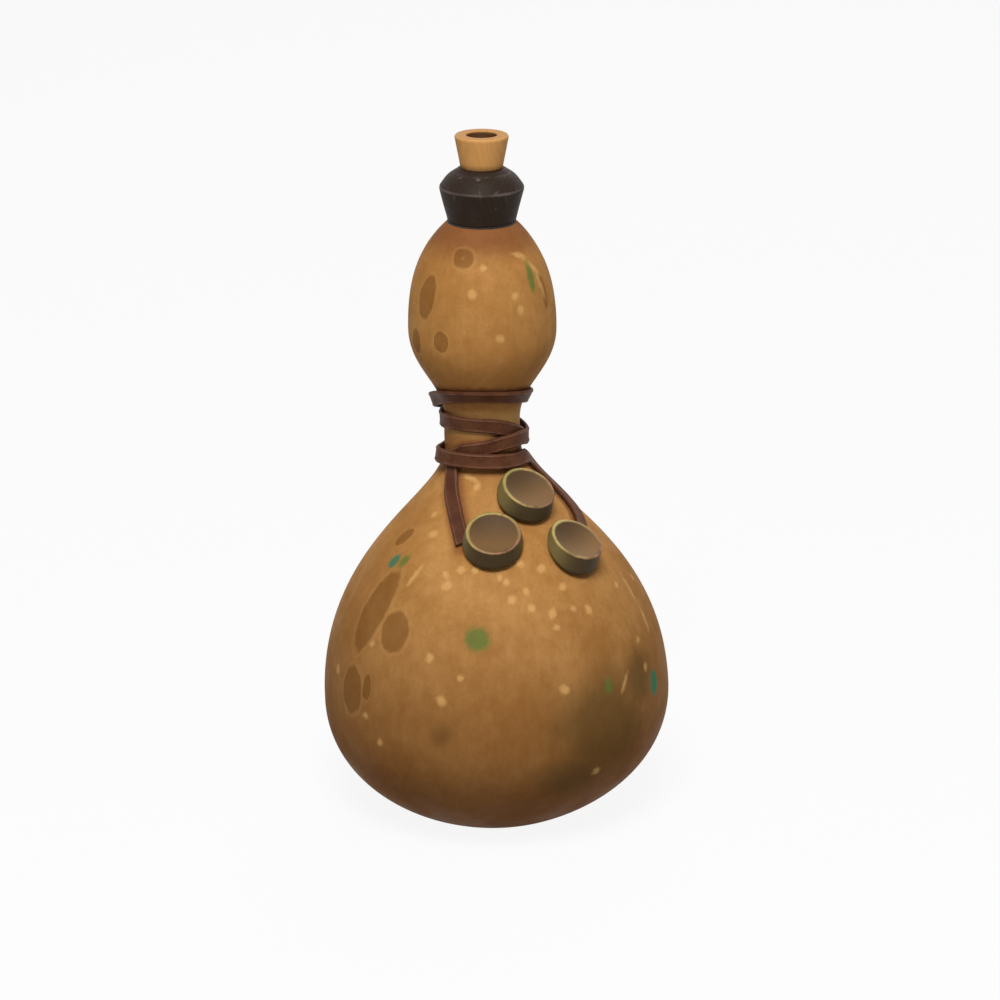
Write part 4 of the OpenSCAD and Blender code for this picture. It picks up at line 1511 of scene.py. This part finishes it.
@dataclass
class Studio:
    """The pale floor, the soft lamps and the plain background."""

    floor_half: float = 6.0
    paper: float = 0.45
    glow: float = 0.8
    glow_strength: float = 1.13
    sky: float = 0.11

    def build(self) -> None:
        """Makes the floor, the lamps and the world."""
        self._floor()
        self._world()
        self._lamp("key_lamp", (-0.12, -1.45, 2.1), 50.0, 1.0)
        self._lamp("fill_lamp", (1.5, -1.2, 1.3), 1.5, 1.4)
        self._lamp("back_lamp", (0.4, 1.8, 1.6), 9.0, 1.4)

    def _floor(self) -> None:
        """A level plane that shows white where it is lit and keeps the bottle's shadow."""
        half = self.floor_half
        mesh = bpy.data.meshes.new("floor")
        mesh.from_pydata([(-half, -half, 0), (half, -half, 0), (half, half, 0), (-half, half, 0)], [], [(0, 1, 2, 3)])
        floor = bpy.data.objects.new("floor", mesh)
        bpy.context.scene.collection.objects.link(floor)
        material = bpy.data.materials.new("floor_paper")
        material.use_nodes = True
        material.node_tree.nodes.clear()
        nodes = Nodes(material.node_tree)
        paper = nodes.add("ShaderNodeBsdfDiffuse", Color=(self.paper,) * 3 + (1,))
        light = nodes.add("ShaderNodeEmission", Color=(1, 1, 1, 1), Strength=self.glow_strength)
        share = nodes.maths("MULTIPLY", self._seen_or_mirrored(nodes), self.glow)
        blend = nodes.add("ShaderNodeMixShader")
        for socket, value in zip(blend.inputs, (share, paper.outputs[0], light.outputs[0])):
            nodes.feed(socket, value)
        nodes.add("ShaderNodeOutputMaterial", Surface=blend.outputs[0])
        mesh.materials.append(material)

    @staticmethod
    def _seen_or_mirrored(nodes: Nodes) -> bpy.types.NodeSocket:
        """1 for rays from the camera, from a gloss or through glass, and 0 for the light itself."""
        rays = nodes.add("ShaderNodeLightPath").outputs
        mirrored = nodes.maths("MAXIMUM", rays["Is Glossy Ray"], rays["Is Transmission Ray"])
        return nodes.maths("MAXIMUM", rays["Is Camera Ray"], mirrored)

    def _world(self) -> None:
        """An even sky that lights softly, and is white where it is seen or mirrored."""
        world = bpy.data.worlds.new("studio")
        bpy.context.scene.world = world
        world.use_nodes = True
        world.node_tree.nodes.clear()
        nodes = Nodes(world.node_tree)
        strength = nodes.maths("MULTIPLY_ADD", self._seen_or_mirrored(nodes), 1 - self.sky, self.sky)
        sky = nodes.add("ShaderNodeBackground", Color=(1, 1, 1, 1), Strength=strength)
        nodes.add("ShaderNodeOutputWorld", Surface=sky.outputs[0])

    def _lamp(self, name: str, place: Colour, power: float, size: float) -> None:
        """A square soft lamp aimed at the middle of the bottle.

        Args:
            name: Name of the lamp.
            place: Where it hangs, in metres.
            power: Its power in watts.
            size: Its side in metres.
        """
        data = bpy.data.lights.new(name, "AREA")
        data.energy, data.size = power, size
        lamp = bpy.data.objects.new(name, data)
        lamp.location = place
        aim = np.array([0, 0, 0.12]) - np.array(place)
        level = math.hypot(aim[0], aim[1])
        lamp.rotation_euler = (math.atan2(level, -aim[2]), 0, math.atan2(-aim[0], aim[1]))
        bpy.context.scene.collection.objects.link(lamp)


def dress_hidden_nodes(effects: Effects) -> None:
    """Gives the CAD nodes that keep their own mesh a finish.

    Args:
        effects: The shared effects.
    """
    wax = PlainFinish("beeswax", linear(196, 160, 98), linear(176, 134, 74), 0.5, 0, 60, 0.2).build(effects)
    pitch = PlainFinish("pitch", linear(40, 30, 24), linear(26, 20, 17), 0.6, 0, 180, 0.25).build(effects)
    dowel = PlainFinish("dowel_brass", linear(176, 146, 90), linear(150, 120, 66), 0.4, 0.9, 260, 0.05).build(effects)
    wearers = {
        "wax_lining": wax, "collar_bedding": pitch, "boss_bed_left": pitch, "boss_bed_top": pitch,
        "boss_bed_right": pitch, "boss_pin_left": dowel, "boss_pin_top": dowel, "boss_pin_right": dowel,
    }
    for name, material in wearers.items():
        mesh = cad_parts[name].data
        mesh.materials.clear()
        mesh.materials.append(material)
        LOG.info("%s: CAD mesh in %s", name, material.name)


def wood_finishes(axis_x: float) -> tuple[TurnedFinish, TurnedFinish]:
    """The collar's dark wood and the stopper's light wood, both turned about the mouth.

    Args:
        axis_x: Where the turning axis is, in metres.

    Returns:
        The two finishes.
    """
    dark = TurnedFinish("dark_collar", linear(52, 39, 31), linear(40, 30, 23), linear(106, 93, 86),
                        linear(44, 20, 15), axis_x, (0.5, 0.62), 0.7, 0.2, 0.3, 0.12)
    light = TurnedFinish("stopper_wood", linear(228, 166, 96), linear(190, 132, 72), linear(222, 170, 112),
                         linear(66, 42, 30), axis_x, (0.55, 0.66), 0.28, 0.2, 0.0, 0.15)
    return dark, light


def main() -> None:
    """Builds the bottle's pieces in order, then the studio and the camera."""
    logging.basicConfig(level=logging.INFO, format="%(name)s: %(message)s")
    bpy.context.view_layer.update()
    bpy.context.scene.view_settings.view_transform = "Standard"
    form, camera, effects = GourdForm(), Camera(), Effects()
    bedding = 0.7
    collar_foot = (form.mouth_x, 0.0, form.rim_z + bedding)
    thong = Thong(form)
    GourdSkin(form, camera, thong.line()[0]).build(GourdFinish().build(effects))
    dark_wood, light_wood = wood_finishes(form.mouth_x * MM)
    collar = Collar(collar_foot, camera)
    collar.build(dark_wood.build(effects))
    lip = (form.mouth_x, 0.0, collar_foot[2] + collar.crease_h + collar.lip_h)
    stopper = StopperPieces(lip)
    stopper.build_wood(light_wood.build(effects))
    thread = PlainFinish("waxed_thread", linear(206, 190, 156), linear(170, 148, 110), 0.6, 0, 420, 0.12)
    stopper.build_thread(thread.build(effects))
    thong.build(LeatherFinish().build(effects))
    studs, brass = Studs(form), BrassFinish().build(effects)
    for place in studs.places:
        studs.build(place, brass)
    dress_hidden_nodes(effects)
    Studio().build()
    camera.build()


if __name__ == "__main__":
    main()
